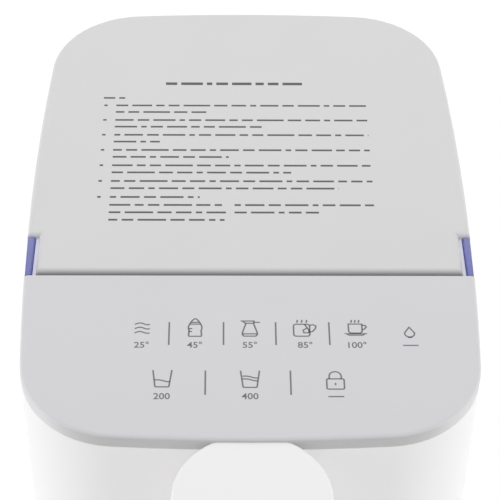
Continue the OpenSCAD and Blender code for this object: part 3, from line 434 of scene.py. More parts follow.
@dataclass(frozen=True)
class CapPlastic(MouldedPlastic):
    """Moulded plastic with painted shade: its skirt darker than its top, most on the front face, and a
    painted shadow along one edge.
    """

    # Painted shade of the skirt below the top: darkest on the front face, lighter on the sides further
    # back
    front_shade: Colour = (192, 192, 193)
    side: Colour = (216, 216, 217)
    front_shade_reach: Point = (0.0, 11.0)
    side_shade_drop: Point = (1.0, 0.1)
    # Painted shadow in the seam along the front edge: its colour, the depth over which it fades, the
    # shape of the fade, and noise patches that lighten it
    seam_shade: Colour = (128, 128, 130)
    seam_shade_span: float = 3.0
    seam_shade_curve: float = 1.5
    seam_shade_patch_size: float = 5.0
    seam_shade_patch_stretch: Point3 = (0.2, 1, 1)
    seam_shade_patch_share: float = 0.3
    node: str = ""
    seam_shaded: bool = False

    def sockets(self, shader: Shader) -> dict[str, Any]:
        """Blend the top into the painted shade of the skirt's front and sides, and the front edge into
        its painted shadow.

        Args:
            shader: The tree to add to.

        Returns:
            Values by socket.
        """
        low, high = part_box(self.node)
        values = super().sockets(shader)
        # Painted shade: below the top the colour turns to the skirt's shade, which lightens from the
        # front towards the back
        above = shader.ramp(shader.along("Z"), *(high.z - drop * MM for drop in self.side_shade_drop))
        behind = shader.ramp(shader.along("Y"), *(low.y + reach * MM for reach in self.front_shade_reach))
        edge = shader.mix(behind, linear(self.front_shade), linear(self.side))
        colour = shader.mix(above, edge, values["Base Color"])
        # Painted shadow along the front edge where the seam lies, fading away from the edge
        if self.seam_shaded:
            away = shader.ramp(shader.along("Y"), low.y, low.y + self.seam_shade_span * MM, "LINEAR")
            clean = 1 - (1 - away) ** self.seam_shade_curve
            seam_shade_patches = shader.noise(self.seam_shade_patch_size, Detail.FINE, self.seam_shade_patch_stretch) * self.seam_shade_patch_share
            colour = shader.mix(clean | seam_shade_patches, linear(self.seam_shade), colour)
        return {**values, "Base Color": colour}


@dataclass(frozen=True)
class TintedPlastic(Finish):
    """Clear plastic with a tint, drawn marks and slight ripples from the mould."""

    clearness: float = 0.7
    roughness: float = 0.16
    ior: float = 1.52
    ripple: float = 26.0
    ripple_stretch: Point3 = (1, 1, 0.25)
    ripple_tone: float = 0.04
    ripple_depth: float = 0.25
    ripple_strength: float = 0.4
    haze_size: float = 3.0
    haze_swing: float = 0.1

    def sockets(self, shader: Shader) -> dict[str, Any]:
        """Mix flow lines along the height with fine haze.

        Args:
            shader: The tree to add to.

        Returns:
            Values by socket.
        """
        flow = shader.noise(self.ripple, stretch=self.ripple_stretch)
        haze = shader.noise(self.haze_size, Detail.FINE)
        return {
            "Base Color": shader.tone(flow, self.colour, self.ripple_tone),
            "Roughness": self.roughness + haze.swing(self.haze_swing),
            "Normal": shader.bump(flow, self.ripple_depth, self.ripple_strength),
            "Transmission Weight": self.clearness,
            "IOR": self.ior,
        }


@dataclass(frozen=True)
class SoftRubber(Finish):
    """Rubber or silicone with a dusty, finely pitted skin."""

    roughness: float = 0.7
    pit: float = 0.5
    depth: float = 0.02
    bloom: float = 0.08
    bloom_size: float = 9.0
    bloom_swing: float = 0.2
    ior: float = 1.45

    def sockets(self, shader: Shader) -> dict[str, Any]:
        """Mix pits with a pale bloom.

        Args:
            shader: The tree to add to.

        Returns:
            Values by socket.
        """
        pits = shader.cells(self.pit)
        bloom = shader.noise(self.bloom_size, Detail.DUSTY)
        return {
            "Base Color": shader.tone(bloom, self.colour, self.bloom),
            "Roughness": self.roughness + bloom.swing(self.bloom_swing),
            "Normal": shader.bump(pits, self.depth),
            "IOR": self.ior,
        }


@dataclass(frozen=True)
class BrushedMetal(Finish):
    """Bare metal with fine brushing lines."""

    roughness: float = 0.3
    line: float = 0.35
    line_stretch: Point3 = (1.0, 1.0, 0.06)
    line_swing: float = 0.25
    line_depth: float = 0.01
    stain: float = 0.08
    stain_size: float = 14.0

    def sockets(self, shader: Shader) -> dict[str, Any]:
        """Stretch noise into brushing lines.

        Args:
            shader: The tree to add to.

        Returns:
            Values by socket.
        """
        lines = shader.noise(self.line, Detail.FINE, self.line_stretch)
        stain = shader.noise(self.stain_size, Detail.FINE)
        return {
            "Base Color": shader.tone(stain, self.colour, self.stain),
            "Metallic": 1.0,
            "Roughness": self.roughness + lines.swing(self.line_swing),
            "Normal": shader.bump(lines, self.line_depth),
        }


@dataclass(frozen=True)
class CircuitBoard(Finish):
    """Board under solder mask, with copper tracks and pads that show through."""

    copper: Colour = (58, 132, 84)
    pad: Colour = (196, 190, 160)
    track: float = 2.6
    track_reach: float = 0.12
    pad_reach: float = 0.2
    pad_metal: float = 0.8
    pad_roughness: float = 0.1
    roughness: float = 0.34
    cloud_size: float = 6.0
    cloud_swing: float = 0.1
    depth: float = 0.04

    def sockets(self, shader: Shader) -> dict[str, Any]:
        """Draw tracks along cell borders and tin on some cells' middles.

        Args:
            shader: The tree to add to.

        Returns:
            Values by socket.
        """
        border = shader.cells(self.track * 2, "DISTANCE_TO_EDGE")
        centre = shader.cells(self.track)
        cloud = shader.noise(self.cloud_size)
        tracks = 1 - (border > self.track_reach)
        pads = 1 - (centre > self.pad_reach)
        mask = shader.mix(tracks, linear(self.colour), linear(self.copper))
        return {
            "Base Color": shader.mix(pads, mask, linear(self.pad)),
            "Roughness": self.roughness + pads * self.pad_roughness + cloud.swing(self.cloud_swing),
            "Metallic": pads * self.pad_metal,
            "Normal": shader.bump(tracks | pads, self.depth),
        }


@dataclass(frozen=True)
class PrintInk(Finish):
    """Pad-printed ink with slightly uneven cover."""

    spread: float = 0.12
    patch: float = 1.2
    roughness: float = 0.5
    roughness_swing: float = 0.2

    def sockets(self, shader: Shader) -> dict[str, Any]:
        """Vary the ink's tone.

        Args:
            shader: The tree to add to.

        Returns:
            Values by socket.
        """
        cover = shader.noise(self.patch, Detail.FINE)
        return {
            "Base Color": shader.tone(cover, self.colour, self.spread),
            "Roughness": self.roughness + cover.swing(self.roughness_swing),
        }


FINISHES: dict[Slot, Finish] = {
    Slot.WHITE: MouldedPlastic(
        "white satin plastic", (244, 243, 243), roughness=0.34, depth=0.004, coat=0.1
    ),
    Slot.GREY: MouldedPlastic("pale grey matte plastic", (217, 217, 219), roughness=0.52, depth=0.008),
    Slot.TANK: TintedPlastic(
        "blue tinted clear plastic", (198, 205, 243), clearness=0.9, roughness=0.08
    ),
    Slot.INNER: MouldedPlastic("natural inner plastic", (226, 225, 220), roughness=0.45, grain=0.9),
    Slot.FLOAT: MouldedPlastic(
        "orange float foam", (214, 132, 62), roughness=0.66, grain=0.5, depth=0.03
    ),
    Slot.RUBBER: SoftRubber("dark rubber", (46, 46, 48)),
    Slot.SILICONE: SoftRubber(
        "milky silicone", (240, 240, 250), roughness=0.5, depth=0.006, bloom=0.03
    ),
    Slot.STEEL: BrushedMetal("brushed steel", (198, 199, 202)),
    Slot.BOARD: CircuitBoard("green circuit board", (28, 92, 52)),
    Slot.LED: MouldedPlastic("milky lamp cap", (240, 236, 214), roughness=0.25, grain=0.4, depth=0.002),
    Slot.RELAY: MouldedPlastic("blue relay case", (42, 70, 150), roughness=0.3, depth=0.006),
    Slot.SLEEVE: MouldedPlastic("black shrink sleeve", (38, 38, 42), roughness=0.36, depth=0.006),
    Slot.SINK: BrushedMetal("extruded aluminium", (205, 206, 210), roughness=0.38),
}
# Both caps carry painted shade on the skirt below their tops
PANEL_CAP = CapPlastic(
    "cool grey panel plastic", (215, 214, 217), roughness=0.5, depth=0.008, node="control_panel"
)
# The lid's front edge gets a painted seam shadow
LID_CAP = CapPlastic(
    "grey lid plastic", (217, 217, 217), roughness=0.52, depth=0.008, node="tank_lid", seam_shaded=True
)
# Painted shade: a darker, less clear copy of the tank plastic for the ears, standing in for light
# passing lengthwise through the wall
TANK_EAR_SHADE = TintedPlastic("deep blue tank edge", (124, 130, 212), clearness=0.4)
PANEL_INK = PrintInk("grey pad print", (108, 109, 112))
LID_INK = PrintInk("dark pad print", (74, 74, 76))


class Bench:
    """Operator work on one object at a time."""

    @staticmethod
    def clear() -> None:
        """Leave edit mode and deselect everything."""
        if bpy.context.object and bpy.context.object.mode != "OBJECT":
            bpy.ops.object.mode_set(mode="OBJECT")
        bpy.ops.object.select_all(action="DESELECT")

    @staticmethod
    def take(*pieces: bpy.types.Object) -> None:
        """Select only these pieces and make the first the active one."""
        Bench.clear()
        for piece in pieces:
            piece.select_set(True)
        bpy.context.view_layer.objects.active = pieces[0]

    @staticmethod
    def copy(node: str, name: str) -> bpy.types.Object:
        """Copy a solid's mesh into a clean piece with merged points and whole flat faces.

        Args:
            node: The solid's node.
            name: The piece's name.

        Returns:
            The new piece.
        """
        Bench.take(frame["nodes"][node])
        bpy.ops.object.duplicate(linked=False)
        piece = bpy.context.object
        bpy.ops.object.parent_clear(type="CLEAR_KEEP_TRANSFORM")
        for key in list(piece.keys()):
            del piece[key]
        piece.name = name
        bpy.ops.mesh.customdata_custom_splitnormals_clear()
        bpy.ops.object.mode_set(mode="EDIT")
        bpy.ops.mesh.select_all(action="SELECT")
        bpy.ops.mesh.remove_doubles(threshold=MERGE)
        bpy.ops.mesh.dissolve_limited(angle_limit=FLAT_TURN)
        bpy.ops.object.mode_set(mode="OBJECT")
        return piece

    @staticmethod
    def soften(
        piece: bpy.types.Object, levels: Sequence[tuple[int, float]], radius: float, steps: int
    ) -> None:
        """Bevel the sharp outer edges that lie on given planes.

        Args:
            piece: The piece to work on.
            levels: Axis number and place of each plane.
            radius: Width of the bevel in millimetres.
            steps: Faces across the bevel.
        """

        def on_rim(edge: bmesh.types.BMEdge) -> bool:
            """Tell if an edge is sharp, points outwards and lies on one of the planes."""
            if len(edge.link_faces) != 2 or not edge.is_convex or edge.calc_face_angle() < SHARP_TURN:
                return False
            return any(
                all(abs(v.co[axis] - level) < MERGE for v in edge.verts) for axis, level in levels
            )

        Bench.take(piece)
        bpy.ops.object.mode_set(mode="EDIT")
        bpy.ops.mesh.select_mode(type="EDGE")
        bpy.ops.mesh.select_all(action="DESELECT")
        net = bmesh.from_edit_mesh(piece.data)
        for edge in net.edges:
            edge.select_set(on_rim(edge))
        net.select_flush_mode()
        bmesh.update_edit_mesh(piece.data)
        if piece.data.total_edge_sel:
            bpy.ops.mesh.bevel(offset=radius * MM, segments=steps, affect="EDGES", clamp_overlap=True)
        bpy.ops.mesh.select_mode(type="VERT")
        bpy.ops.object.mode_set(mode="OBJECT")

    @staticmethod
    def smooth(piece: bpy.types.Object) -> None:
        """Shade a piece smooth between faces that meet at a small angle."""
        Bench.take(piece)
        bpy.ops.object.shade_smooth_by_angle(angle=SMOOTH_TURN)

    @staticmethod
    def settle(piece: bpy.types.Object) -> None:
        """Put a piece's place into its mesh."""
        Bench.take(piece)
        bpy.ops.object.transform_apply(location=True, rotation=True, scale=True)


def fit(
    piece: bpy.types.Object, body: Body, finish: Finish, node: str = ""
) -> None:
    """Dress a finished piece and hang it on its body.

    Args:
        piece: The piece, at its place.
        body: The body that it moves with.
        finish: Its finish.
        node: The node that it stands for.
    """
    piece.data.materials.clear()
    piece.data.materials.append(finish.material())
    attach(piece, body.value)
    if node:
        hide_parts(node)
    LOG.info("%s: %d faces, rides on %s", piece.name, len(piece.data.polygons), body.value)


@dataclass(frozen=True)
class Rim:
    """A flat rim, found by its distance from one side of its solid's box."""

    side: Side
    inset: float = 0.0

    def level(self, node: str) -> tuple[int, float]:
        """Find the rim's plane.

        Args:
            node: The solid's node.

        Returns:
            Axis number and place.
        """
        axis, end = self.side.value
        inward = -1 if end else 1
        return axis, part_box(node)[end][axis] + inward * self.inset * MM


TOP_RIM = Rim(Side.TOP)
BOTTOM_RIM = Rim(Side.BOTTOM)
BOTH_RIMS = (TOP_RIM, BOTTOM_RIM)
SKIRT_RIM = Rim(Side.TOP, CAP_SKIRT)


@dataclass(frozen=True)
class Moulding:
    """A shell that keeps its solid's form, with softened rims."""

    node: str
    body: Body
    slot: Slot
    rims: tuple[Rim, ...] = ()
    radius: float = 0.4
    steps: int = 3
    finish: Finish | None = None

    def build(self) -> bpy.types.Object:
        """Copy the solid, soften its rims and dress it.

        Returns:
            The new piece.
        """
        piece = Bench.copy(self.node, f"{self.node}_shell")
        if self.rims:
            Bench.soften(piece, [rim.level(self.node) for rim in self.rims], self.radius, self.steps)
        Bench.smooth(piece)
        fit(piece, self.body, self.finish or FINISHES[self.slot], self.node)
        return piece


class Pen:
    """Draws raised print on a level face by extruding points along lines."""

    def __init__(self, name: str, level: float, stroke: float, cover: float) -> None:
        """Start an empty print.

        Args:
            name: The piece's name.
            level: Height of the face.
            stroke: Width of the lines in millimetres.
            cover: Thickness of the ink in millimetres.
        """
        self.name = name
        self.level = level
        self.stroke = stroke
        self.cover = cover
        self.piece: bpy.types.Object | None = None

    def draw(self, points: Sequence[Point], closed: bool = False) -> None:
        """Draw one line.

        Args:
            points: Its points in millimetres.
            closed: Whether it ends where it starts.
        """
        way = [*points, points[0]] if closed else list(points)
        if self.piece is None:
            Bench.clear()
        else:
            bpy.ops.mesh.select_all(action="DESELECT")
        bpy.ops.mesh.primitive_plane_add(size=MM, location=(way[0][0] * MM, way[0][1] * MM, self.level))
        if self.piece is None:
            self.piece = bpy.context.object
            bpy.ops.object.mode_set(mode="EDIT")
        bpy.ops.mesh.merge(type="CENTER")
        for (x0, y0), (x1, y1) in zip(way, way[1:]):
            step = ((x1 - x0) * MM, (y1 - y0) * MM, 0)
            bpy.ops.mesh.extrude_vertices_move(TRANSFORM_OT_translate={"value": step})
        if closed:
            bpy.ops.mesh.select_linked()
            bpy.ops.mesh.remove_doubles(threshold=MERGE)

    def lift(self) -> bpy.types.Object:
        """Give the lines their thickness and width.

        Returns:
            The finished piece.
        """
        bpy.ops.mesh.select_all(action="SELECT")
        bpy.ops.mesh.extrude_edges_move(TRANSFORM_OT_translate={"value": (0, 0, self.cover * MM)})
        bpy.ops.object.mode_set(mode="OBJECT")
        piece = self.piece
        piece.name = self.name
        Bench.take(piece)
        width = piece.modifiers.new("stroke", "SOLIDIFY")
        width.thickness = self.stroke * MM
        width.offset = 0
        width.use_even_offset = True
        bpy.ops.object.modifier_apply(modifier=width.name)
        bpy.ops.object.mode_set(mode="EDIT")
        bpy.ops.mesh.select_all(action="SELECT")
        bpy.ops.mesh.normals_make_consistent(inside=False)
        bpy.ops.object.mode_set(mode="OBJECT")
        Bench.settle(piece)
        return piece


def arc(centre: Point, radius: float, start: float, end: float, steps: int = 10) -> list[Point]:
    """List points along an arc.

    Args:
        centre: Its centre.
        radius: Its radius.
        start: First angle in degrees.
        end: Last angle in degrees.
        steps: Number of stretches.

    Returns:
        The points.
    """
    turns = [math.radians(start + (end - start) * i / steps) for i in range(steps + 1)]
    return [(centre[0] + radius * math.cos(t), centre[1] + radius * math.sin(t)) for t in turns]


def wave(
    half: float, y: float, rise: float = 0.4, fall: float = 0.0, lag: float = 0.6, steps: int = 12
) -> list[Point]:
    """List points along one gentle wave round the middle.

    Args:
        half: Half of its length.
        y: Its middle height.
        rise: Height of its crest.
        fall: Drop from its start to its end.
        lag: Angle in radians by which it starts late.
        steps: Number of stretches.

    Returns:
        The points.
    """
    shares = [i / steps for i in range(steps + 1)]
    lift = [rise * math.sin(2 * math.pi * t - lag) - fall * (t - 0.5) for t in shares]
    return [(half * (2 * t - 1), y + up) for t, up in zip(shares, lift)]


def panel_outline(low: Point, high: Point, radius: float) -> list[Point]:
    """List points round a rectangle with round corners.

    Args:
        low: Its lower left corner.
        high: Its upper right corner.
        radius: Radius of its corners.

    Returns:
        The points, anticlockwise.
    """
    (x0, y0), (x1, y1) = low, high
    x0, y0, x1, y1 = x0 + radius, y0 + radius, x1 - radius, y1 - radius
    middles = ((x1, y1), (x0, y1), (x0, y0), (x1, y0))
    return [p for i, c in enumerate(middles) for p in arc(c, radius, 90 * i, 90 * i + 90, 4)]


def mirrored(half: Sequence[Point]) -> list[Point]:
    """Join a right half outline with its mirror image, left side last."""
    return [*half, *((-x, y) for x, y in reversed(half) if x)]


def open_top(half: Sequence[Point]) -> list[Point]:
    """Join the mirror image of a right half outline with the half itself, both from the bottom up."""
    return [*((-x, y) for x, y in reversed(half)), *half]


class Sign(Enum):
    """Key signs of the panel."""

    WAVES = "waves"
    BOTTLE = "bottle"
    POT = "pot"
    MUG = "mug"
    CUP = "cup"
    DROP = "drop"
    LOW_GLASS = "low_glass"
    HIGH_GLASS = "high_glass"
    PADLOCK = "padlock"

    def strokes(self) -> list[Stroke]:
        """Give the sign's lines round its own middle, in millimetres."""
        return getattr(SignLines, self.value)()


class SignLines:
    """Lines of each key sign, in millimetres round its middle."""

    @staticmethod
    def steam(places: Sequence[float], low: float) -> Iterator[Stroke]:
        """Give short rising strokes of steam from a height on."""
        for x in places:
            yield [(x, low), (x + 0.3, low + 0.6), (x + 0.25, low + 1.25)], False

    @staticmethod
    def waves() -> list[Stroke]:
        """Three wavy lines."""
        return [(wave(2.45, y), False) for y in (1.9, 0.0, -1.9)]

    @staticmethod
    def bottle() -> list[Stroke]:
        """A feeding bottle with its collar and scale marks."""
        body = [(1.9, -4.0), (2.1, -3.7), (1.95, -1.4), (2.2, -0.4), (2.15, 0.4)]
        teat = [(1.65, 1.75), (1.0, 2.95), (0.45, 3.6), (0.0, 3.85)]
        bars = ((-1.65, 1.65, 1.4), (-1.3, 1.3, 2.2), (-2.1, -0.9, -0.6), (-2.1, -1.0, -1.9))
        return [(mirrored(body + teat), True), *(([(x0, y), (x1, y)], False) for x0, x1, y in bars)]

    @staticmethod
    def pot() -> list[Stroke]:
        """A small pot with a side handle."""
        body = open_top([(1.9, -3.4), (2.4, -2.8), (2.4, -1.9), (1.25, 2.2)])
        rim = [(-2.5, 3.3), (1.4, 3.3), (1.3, 2.3), (-1.3, 2.3)]
        handle = [(1.35, 2.7), (3.3, 2.7)]
        line = [(-2.35, -2.4), (2.35, -2.4)]
        return [(body, False), (rim, True), (handle, False), (line, False)]

    @staticmethod
    def mug() -> list[Stroke]:
        """A steaming mug with a tag on its string."""
        handle = [(1.6, 1.2), (2.8, 1.5), (3.7, 0.9), (3.4, -0.3), (2.5, -1.5), (1.6, -1.9)]
        tag = [(0.8, 0.0), (1.4, -0.9), (1.2, -2.1), (-0.3, -2.1), (-0.5, -0.9)]
        body = panel_outline((-3.6, -3.6), (1.6, 1.7), 0.8)
        string = [(0.0, 1.7), (0.8, 0.0)]
        steam = SignLines.steam((-2.6, -1.1, 0.4), 2.4)
        return [(body, True), (handle, False), (string, False), (tag, True), *steam]

    @staticmethod
    def cup() -> list[Stroke]:
        """A steaming cup on its saucer."""
        body = [(-2.3, 1.6), (2.1, 1.6), (2.1, -1.7), (1.5, -2.4), (-1.7, -2.4), (-2.3, -1.7)]
        handle = [(2.1, 1.1), (3.1, 1.0), (3.5, 0.3), (2.9, -0.6), (2.1, -0.9)]
        saucer = [(-3.1, -2.7), (-2.2, -3.32), (2.2, -3.32), (3.1, -2.7)]
        return [(body, True), (handle, False), (saucer, True), *SignLines.steam((-1.5, -0.3, 0.9), 2.2)]

    @staticmethod
    def drop() -> list[Stroke]:
        """A drop over a short line."""
        outline = [(0.0, 2.3), *arc((0, -0.45), 1.6, 12, -192, 14)]
        return [(outline, True), ([(-0.7, -2.15), (0.7, -2.15)], False)]

    @staticmethod
    def glass(levels: Sequence[float]) -> list[Stroke]:
        """An open glass with a line at each water level."""
        outline = open_top([(1.95, -3.5), (2.2, -3.25), (3.0, 3.55)])
        return [(outline, False), *((wave(2.4, y, 0.16, 0.8), False) for y in levels)]

    @staticmethod
    def low_glass() -> list[Stroke]:
        """A glass with little water."""
        return SignLines.glass((-0.9,))

    @staticmethod
    def high_glass() -> list[Stroke]:
        """A glass with more water."""
        return SignLines.glass((0.9, -0.3))

    @staticmethod
    def padlock() -> list[Stroke]:
        """A closed padlock with its keyhole."""
        body = panel_outline((-2.75, -3.7), (2.75, 0.6), 0.5)
        bow = [(1.9, 0.6), *arc((0, 1.75), 1.9, 0, 180), (-1.9, 0.6)]
        return [(body, True), (bow, False), ([(0.0, -1.1), (0.0, -2.1)], False)]


@dataclass(frozen=True)
class Key:
    """One touch key: its sign's place and what stands below it."""

    sign: Sign
    x: float
    y: float
    number: str = ""
    number_y: float = 39.4


@dataclass
class TopPanel:
    """Control panel with its printed keys; places are measured back from the front wall."""

    shell: Moulding = Moulding(
        "control_panel", Body.HOUSING, Slot.GREY, (SKIRT_RIM,), 0.3, finish=PANEL_CAP
    )
    keys: tuple[Key, ...] = (
        Key(Sign.WAVES, -35.0, 46.9, "25°"),
        Key(Sign.BOTTLE, -17.9, 47.3, "45°"),
        Key(Sign.POT, -0.2, 46.8, "55°"),
        Key(Sign.MUG, 17.6, 47.0, "85°"),
        Key(Sign.CUP, 34.1, 47.2, "100°"),
        Key(Sign.DROP, 51.5, 45.1),
        Key(Sign.LOW_GLASS, -28.0, 25.1, "200", 17.6),
        Key(Sign.HIGH_GLASS, -0.3, 24.9, "400", 17.6),
        Key(Sign.PADLOCK, 26.6, 24.4, "", 17.6),
    )
    rear_dividers: tuple[float, ...] = (-26.3, -8.7, 8.2, 25.5)
    front_dividers: tuple[float, ...] = (-14.4, 12.5)
    rear_span: Point = (39.5, 49.6)
    front_span: Point = (18.3, 28.5)
    dash: float = 5.0
    stroke: float = 0.5
    divider: float = 0.52
    cover: float = 0.02
    cap_height: float = 2.6
    boldness: float = 0.05
    curve_steps: int = 4
    font_share: float = 0.73
    front: float = field(default_factory=lambda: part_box("front_housing")[0].y / MM)
    top: float = field(default_factory=lambda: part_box("control_panel")[1].z)

    def build(self) -> None:
        """Build the panel and its print."""
        self.shell.build()
        self.print_signs()
        self.print_dividers()
        self.print_numbers()

    def print_signs(self) -> None:
        """Draw every key's sign, and a dash under a key that has no number."""
        pen = Pen("panel_signs", self.top, self.stroke, self.cover)
        for key in self.keys:
            y = self.front + key.y
            for points, closed in key.sign.strokes():
                pen.draw([(key.x + u, y + v) for u, v in points], closed)
            if not key.number:
                low = self.front + key.number_y
                pen.draw([(key.x - self.dash / 2, low), (key.x + self.dash / 2, low)])
        fit(pen.lift(), Body.HOUSING, PANEL_INK)

    def print_dividers(self) -> None:
        """Draw the upright lines between the keys."""
        pen = Pen("panel_dividers", self.top, self.divider, self.cover)
        rows = ((self.rear_dividers, self.rear_span), (self.front_dividers, self.front_span))
        for places, span in rows:
            for x in places:
                pen.draw([(x, self.front + y) for y in span])
        fit(pen.lift(), Body.HOUSING, PANEL_INK)

    def print_numbers(self) -> None:
        """Set the keys' numbers as thin raised figures."""
        figures = []
        for key in self.keys:
            if not key.number:
                continue
            Bench.clear()
            spot = (key.x * MM, (self.front + key.number_y) * MM, self.top + self.cover * MM / 2)
            bpy.ops.object.text_add(location=spot)
            words = bpy.context.object.data
            words.body = key.number
            words.size = self.cap_height / self.font_share * MM
            words.align_x = "CENTER"
            words.align_y = "CENTER"
            words.extrude = self.cover * MM / 2
            words.offset = self.boldness * MM
            words.resolution_u = self.curve_steps
            bpy.ops.object.convert(target="MESH")
            figures.append(bpy.context.object)
        Bench.take(*figures)
        bpy.ops.object.join()
        piece = bpy.context.object
        piece.name = "panel_numbers"
        bpy.ops.object.mode_set(mode="EDIT")
        bpy.ops.mesh.select_all(action="SELECT")
        bpy.ops.mesh.remove_doubles(threshold=MERGE)
        bpy.ops.mesh.normals_make_consistent(inside=False)
        bpy.ops.object.mode_set(mode="OBJECT")
        Bench.settle(piece)
        fit(piece, Body.HOUSING, PANEL_INK)


@dataclass
class ShellSet:
    """Shells that make up a sub-assembly."""

    shells: tuple[Moulding, ...] = ()

    def build(self) -> None:
        """Build every shell."""
        for shell in self.shells:
            shell.build()


@dataclass
class Lid(ShellSet):
    """Hinged tank lid with its gasket and a block of plain ruled lines.

    A row is its distance from the front wall, its left end and its right end.
    """

    shells: tuple[Moulding, ...] = (
        Moulding("tank_lid", Body.LID, Slot.GREY, (SKIRT_RIM,), 0.4, finish=LID_CAP),
        Moulding("lid_gasket", Body.LID, Slot.SILICONE, (BOTTOM_RIM,), 0.4),
        Moulding("lid_pin", Body.TANK, Slot.STEEL),
    )
    left: float = -48.5
    right: float = 43.7
    middle: float = -5.0
    bullet: float = -52.9
    bullet_length: float = 1.2
    heading: Point3 = (172.6, -30.5, 20.4)
    opening: Point3 = (164.1, -53.3, -45.4)
    first_y: float = 159.8
    pair_gap: float = 3.78
    item_gap: float = 8.34
    item_shares: tuple[Point, ...] = (
        (1.0, 0.36), (1.0, 0.58), (1.0, 0.18), (1.0, 0.45), (1.0, 0.69), (1.0, 0.87), (0.34, 0.0)
    )
    closing_y: float = 105.7
    closing_shares: tuple[Point, ...] = ((0.9, 1.0), (0.94, 0.6), (0.92, 0.0))
    word_rhythm: tuple[float, ...] = (4.2, 8.1, 2.0, 4.4, 7.3, 3.1, 4.0, 9.8, 4.9, 5.4, 2.2, 6.7)
    word_gap: float = 1.5
    rule: float = 0.9
    bold_rule: float = 1.5
    cover: float = 0.02
    front: float = field(default_factory=lambda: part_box("front_housing")[0].y / MM)
    top: float = field(default_factory=lambda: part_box("tank_lid")[1].z)

    def build(self) -> None:
        """Build the lid's shells and its ruled lines."""
        super().build()
        self.rule_lines("lid_heading_line", self.bold_rule, [self.heading])
        self.rule_lines("lid_lines", self.rule, self.rows())

    def rows(self) -> Iterator[Point3]:
        """Give each row as its height, start and end.

        Yields:
            Distance from the front wall, left end and right end.
        """
        yield self.opening
        for item, (first, second) in enumerate(self.item_shares):
            y = self.first_y - item * self.item_gap
            yield y, self.bullet, self.bullet + self.bullet_length
            yield y, self.left, self.left + first * (self.right - self.left)
            yield y - self.pair_gap, self.left, self.left + second * (self.right - self.left)
        for row, (near, far) in enumerate(self.closing_shares):
            y = self.closing_y - row * self.pair_gap
            yield y, self.left, self.left + near * (self.middle - self.left)
            yield y, self.middle, self.middle + far * (self.right - self.middle)

    def rule_lines(self, name: str, width: float, rows: Iterable[Point3]) -> None:
        """Break rows into dashes of word length.

        Args:
            name: The piece's name.
            width: Width of the dashes.
            rows: Height, start and end of each row.
        """
        pen = Pen(name, self.top, width, self.cover)
        turn = 0
        for y, start, end in rows:
            x = start
            while x < end:
                stop = min(x + self.word_rhythm[turn % len(self.word_rhythm)], end)
                pen.draw([(x, self.front + y), (stop, self.front + y)])
                x = stop + self.word_gap
                turn += 1
        fit(pen.lift(), Body.LID, LID_INK)


@dataclass
class Cabinet(ShellSet):
    """Standing shells of the machine."""

    shells: tuple[Moulding, ...] = (
        Moulding("front_housing", Body.HOUSING, Slot.WHITE, BOTH_RIMS, 0.3),
        Moulding("rear_housing", Body.HOUSING, Slot.WHITE, (Rim(Side.TOP, DECK_RIM), BOTTOM_RIM), 0.4),
        Moulding("column_back", Body.HOUSING, Slot.WHITE, (TOP_RIM,), 0.3),
        Moulding("base_pan", Body.HOUSING, Slot.WHITE, BOTH_RIMS, 0.6),
        Moulding("feet", Body.HOUSING, Slot.RUBBER, (BOTTOM_RIM,), 0.6),
        Moulding("cord_gland", Body.HOUSING, Slot.RUBBER, (Rim(Side.BACK),), 0.4),
    )


@dataclass
class Spout(ShellSet):
    """Round spout head with its plate and nozzle."""

    shells: tuple[Moulding, ...] = (
        Moulding("spout_hood", Body.HOUSING, Slot.WHITE, (BOTTOM_RIM,), 0.5),
        Moulding("spout_plate", Body.HOUSING, Slot.GREY, (BOTTOM_RIM,), 0.3),
        Moulding("outlet_nozzle", Body.HOUSING, Slot.STEEL, (BOTTOM_RIM,), 0.5),
    )


@dataclass
class Tank(ShellSet):
    """Lift-off water tank with its float and valve."""

    shells: tuple[Moulding, ...] = (
        Moulding("float_clip", Body.TANK, Slot.INNER),
        Moulding("valve_seat", Body.TANK, Slot.INNER),
        Moulding("valve_cage", Body.TANK, Slot.INNER, (TOP_RIM,), 0.3),
        Moulding("valve_plunger", Body.VALVE, Slot.INNER),
        Moulding("level_float", Body.FLOAT, Slot.FLOAT, BOTH_RIMS, 1.0),
        Moulding("float_magnet", Body.FLOAT, Slot.STEEL),
        Moulding("tank_dock", Body.HOUSING, Slot.INNER, (TOP_RIM,), 0.4),
        Moulding("dock_seal", Body.HOUSING, Slot.RUBBER, (TOP_RIM,), 0.3),
    )
    vessel: Moulding = Moulding("water_tank", Body.TANK, Slot.TANK, BOTH_RIMS, 0.5)
    ear_rise: float = 4.2

    def build(self) -> None:
        """Build the vessel with painted shade on its ears, and every shell in it."""
        self.shade_ears(self.vessel.build())
        super().build()

    def shade_ears(self, vessel: bpy.types.Object) -> None:
        """Paint the ears above the rim a deeper, less clear blue: painted shade for light passing
        lengthwise through the wall.

        Args:
            vessel: The tank's shell.
        """
        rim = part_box(self.vessel.node)[1].z - self.ear_rise * MM
        vessel.data.materials.append(TANK_EAR_SHADE.material())
        Bench.take(vessel)
        bpy.ops.object.mode_set(mode="EDIT")
        bpy.ops.mesh.select_mode(type="FACE")
        bpy.ops.mesh.select_all(action="DESELECT")
        net = bmesh.from_edit_mesh(vessel.data)
        for face in net.faces:
            face.select_set(face.calc_center_median().z > rim + MERGE)
        bmesh.update_edit_mesh(vessel.data)
        vessel.active_material_index = 1
        bpy.ops.object.material_slot_assign()
        bpy.ops.mesh.select_mode(type="VERT")
        bpy.ops.object.mode_set(mode="OBJECT")


@dataclass
class DripTray(ShellSet):
    """Slide-out drip tray and its grid."""

    shells: tuple[Moulding, ...] = (
        Moulding("drip_tray", Body.TRAY, Slot.GREY, BOTH_RIMS, 0.5),
        Moulding("drip_grid", Body.GRID, Slot.GREY, (TOP_RIM,), 0.5),
    )


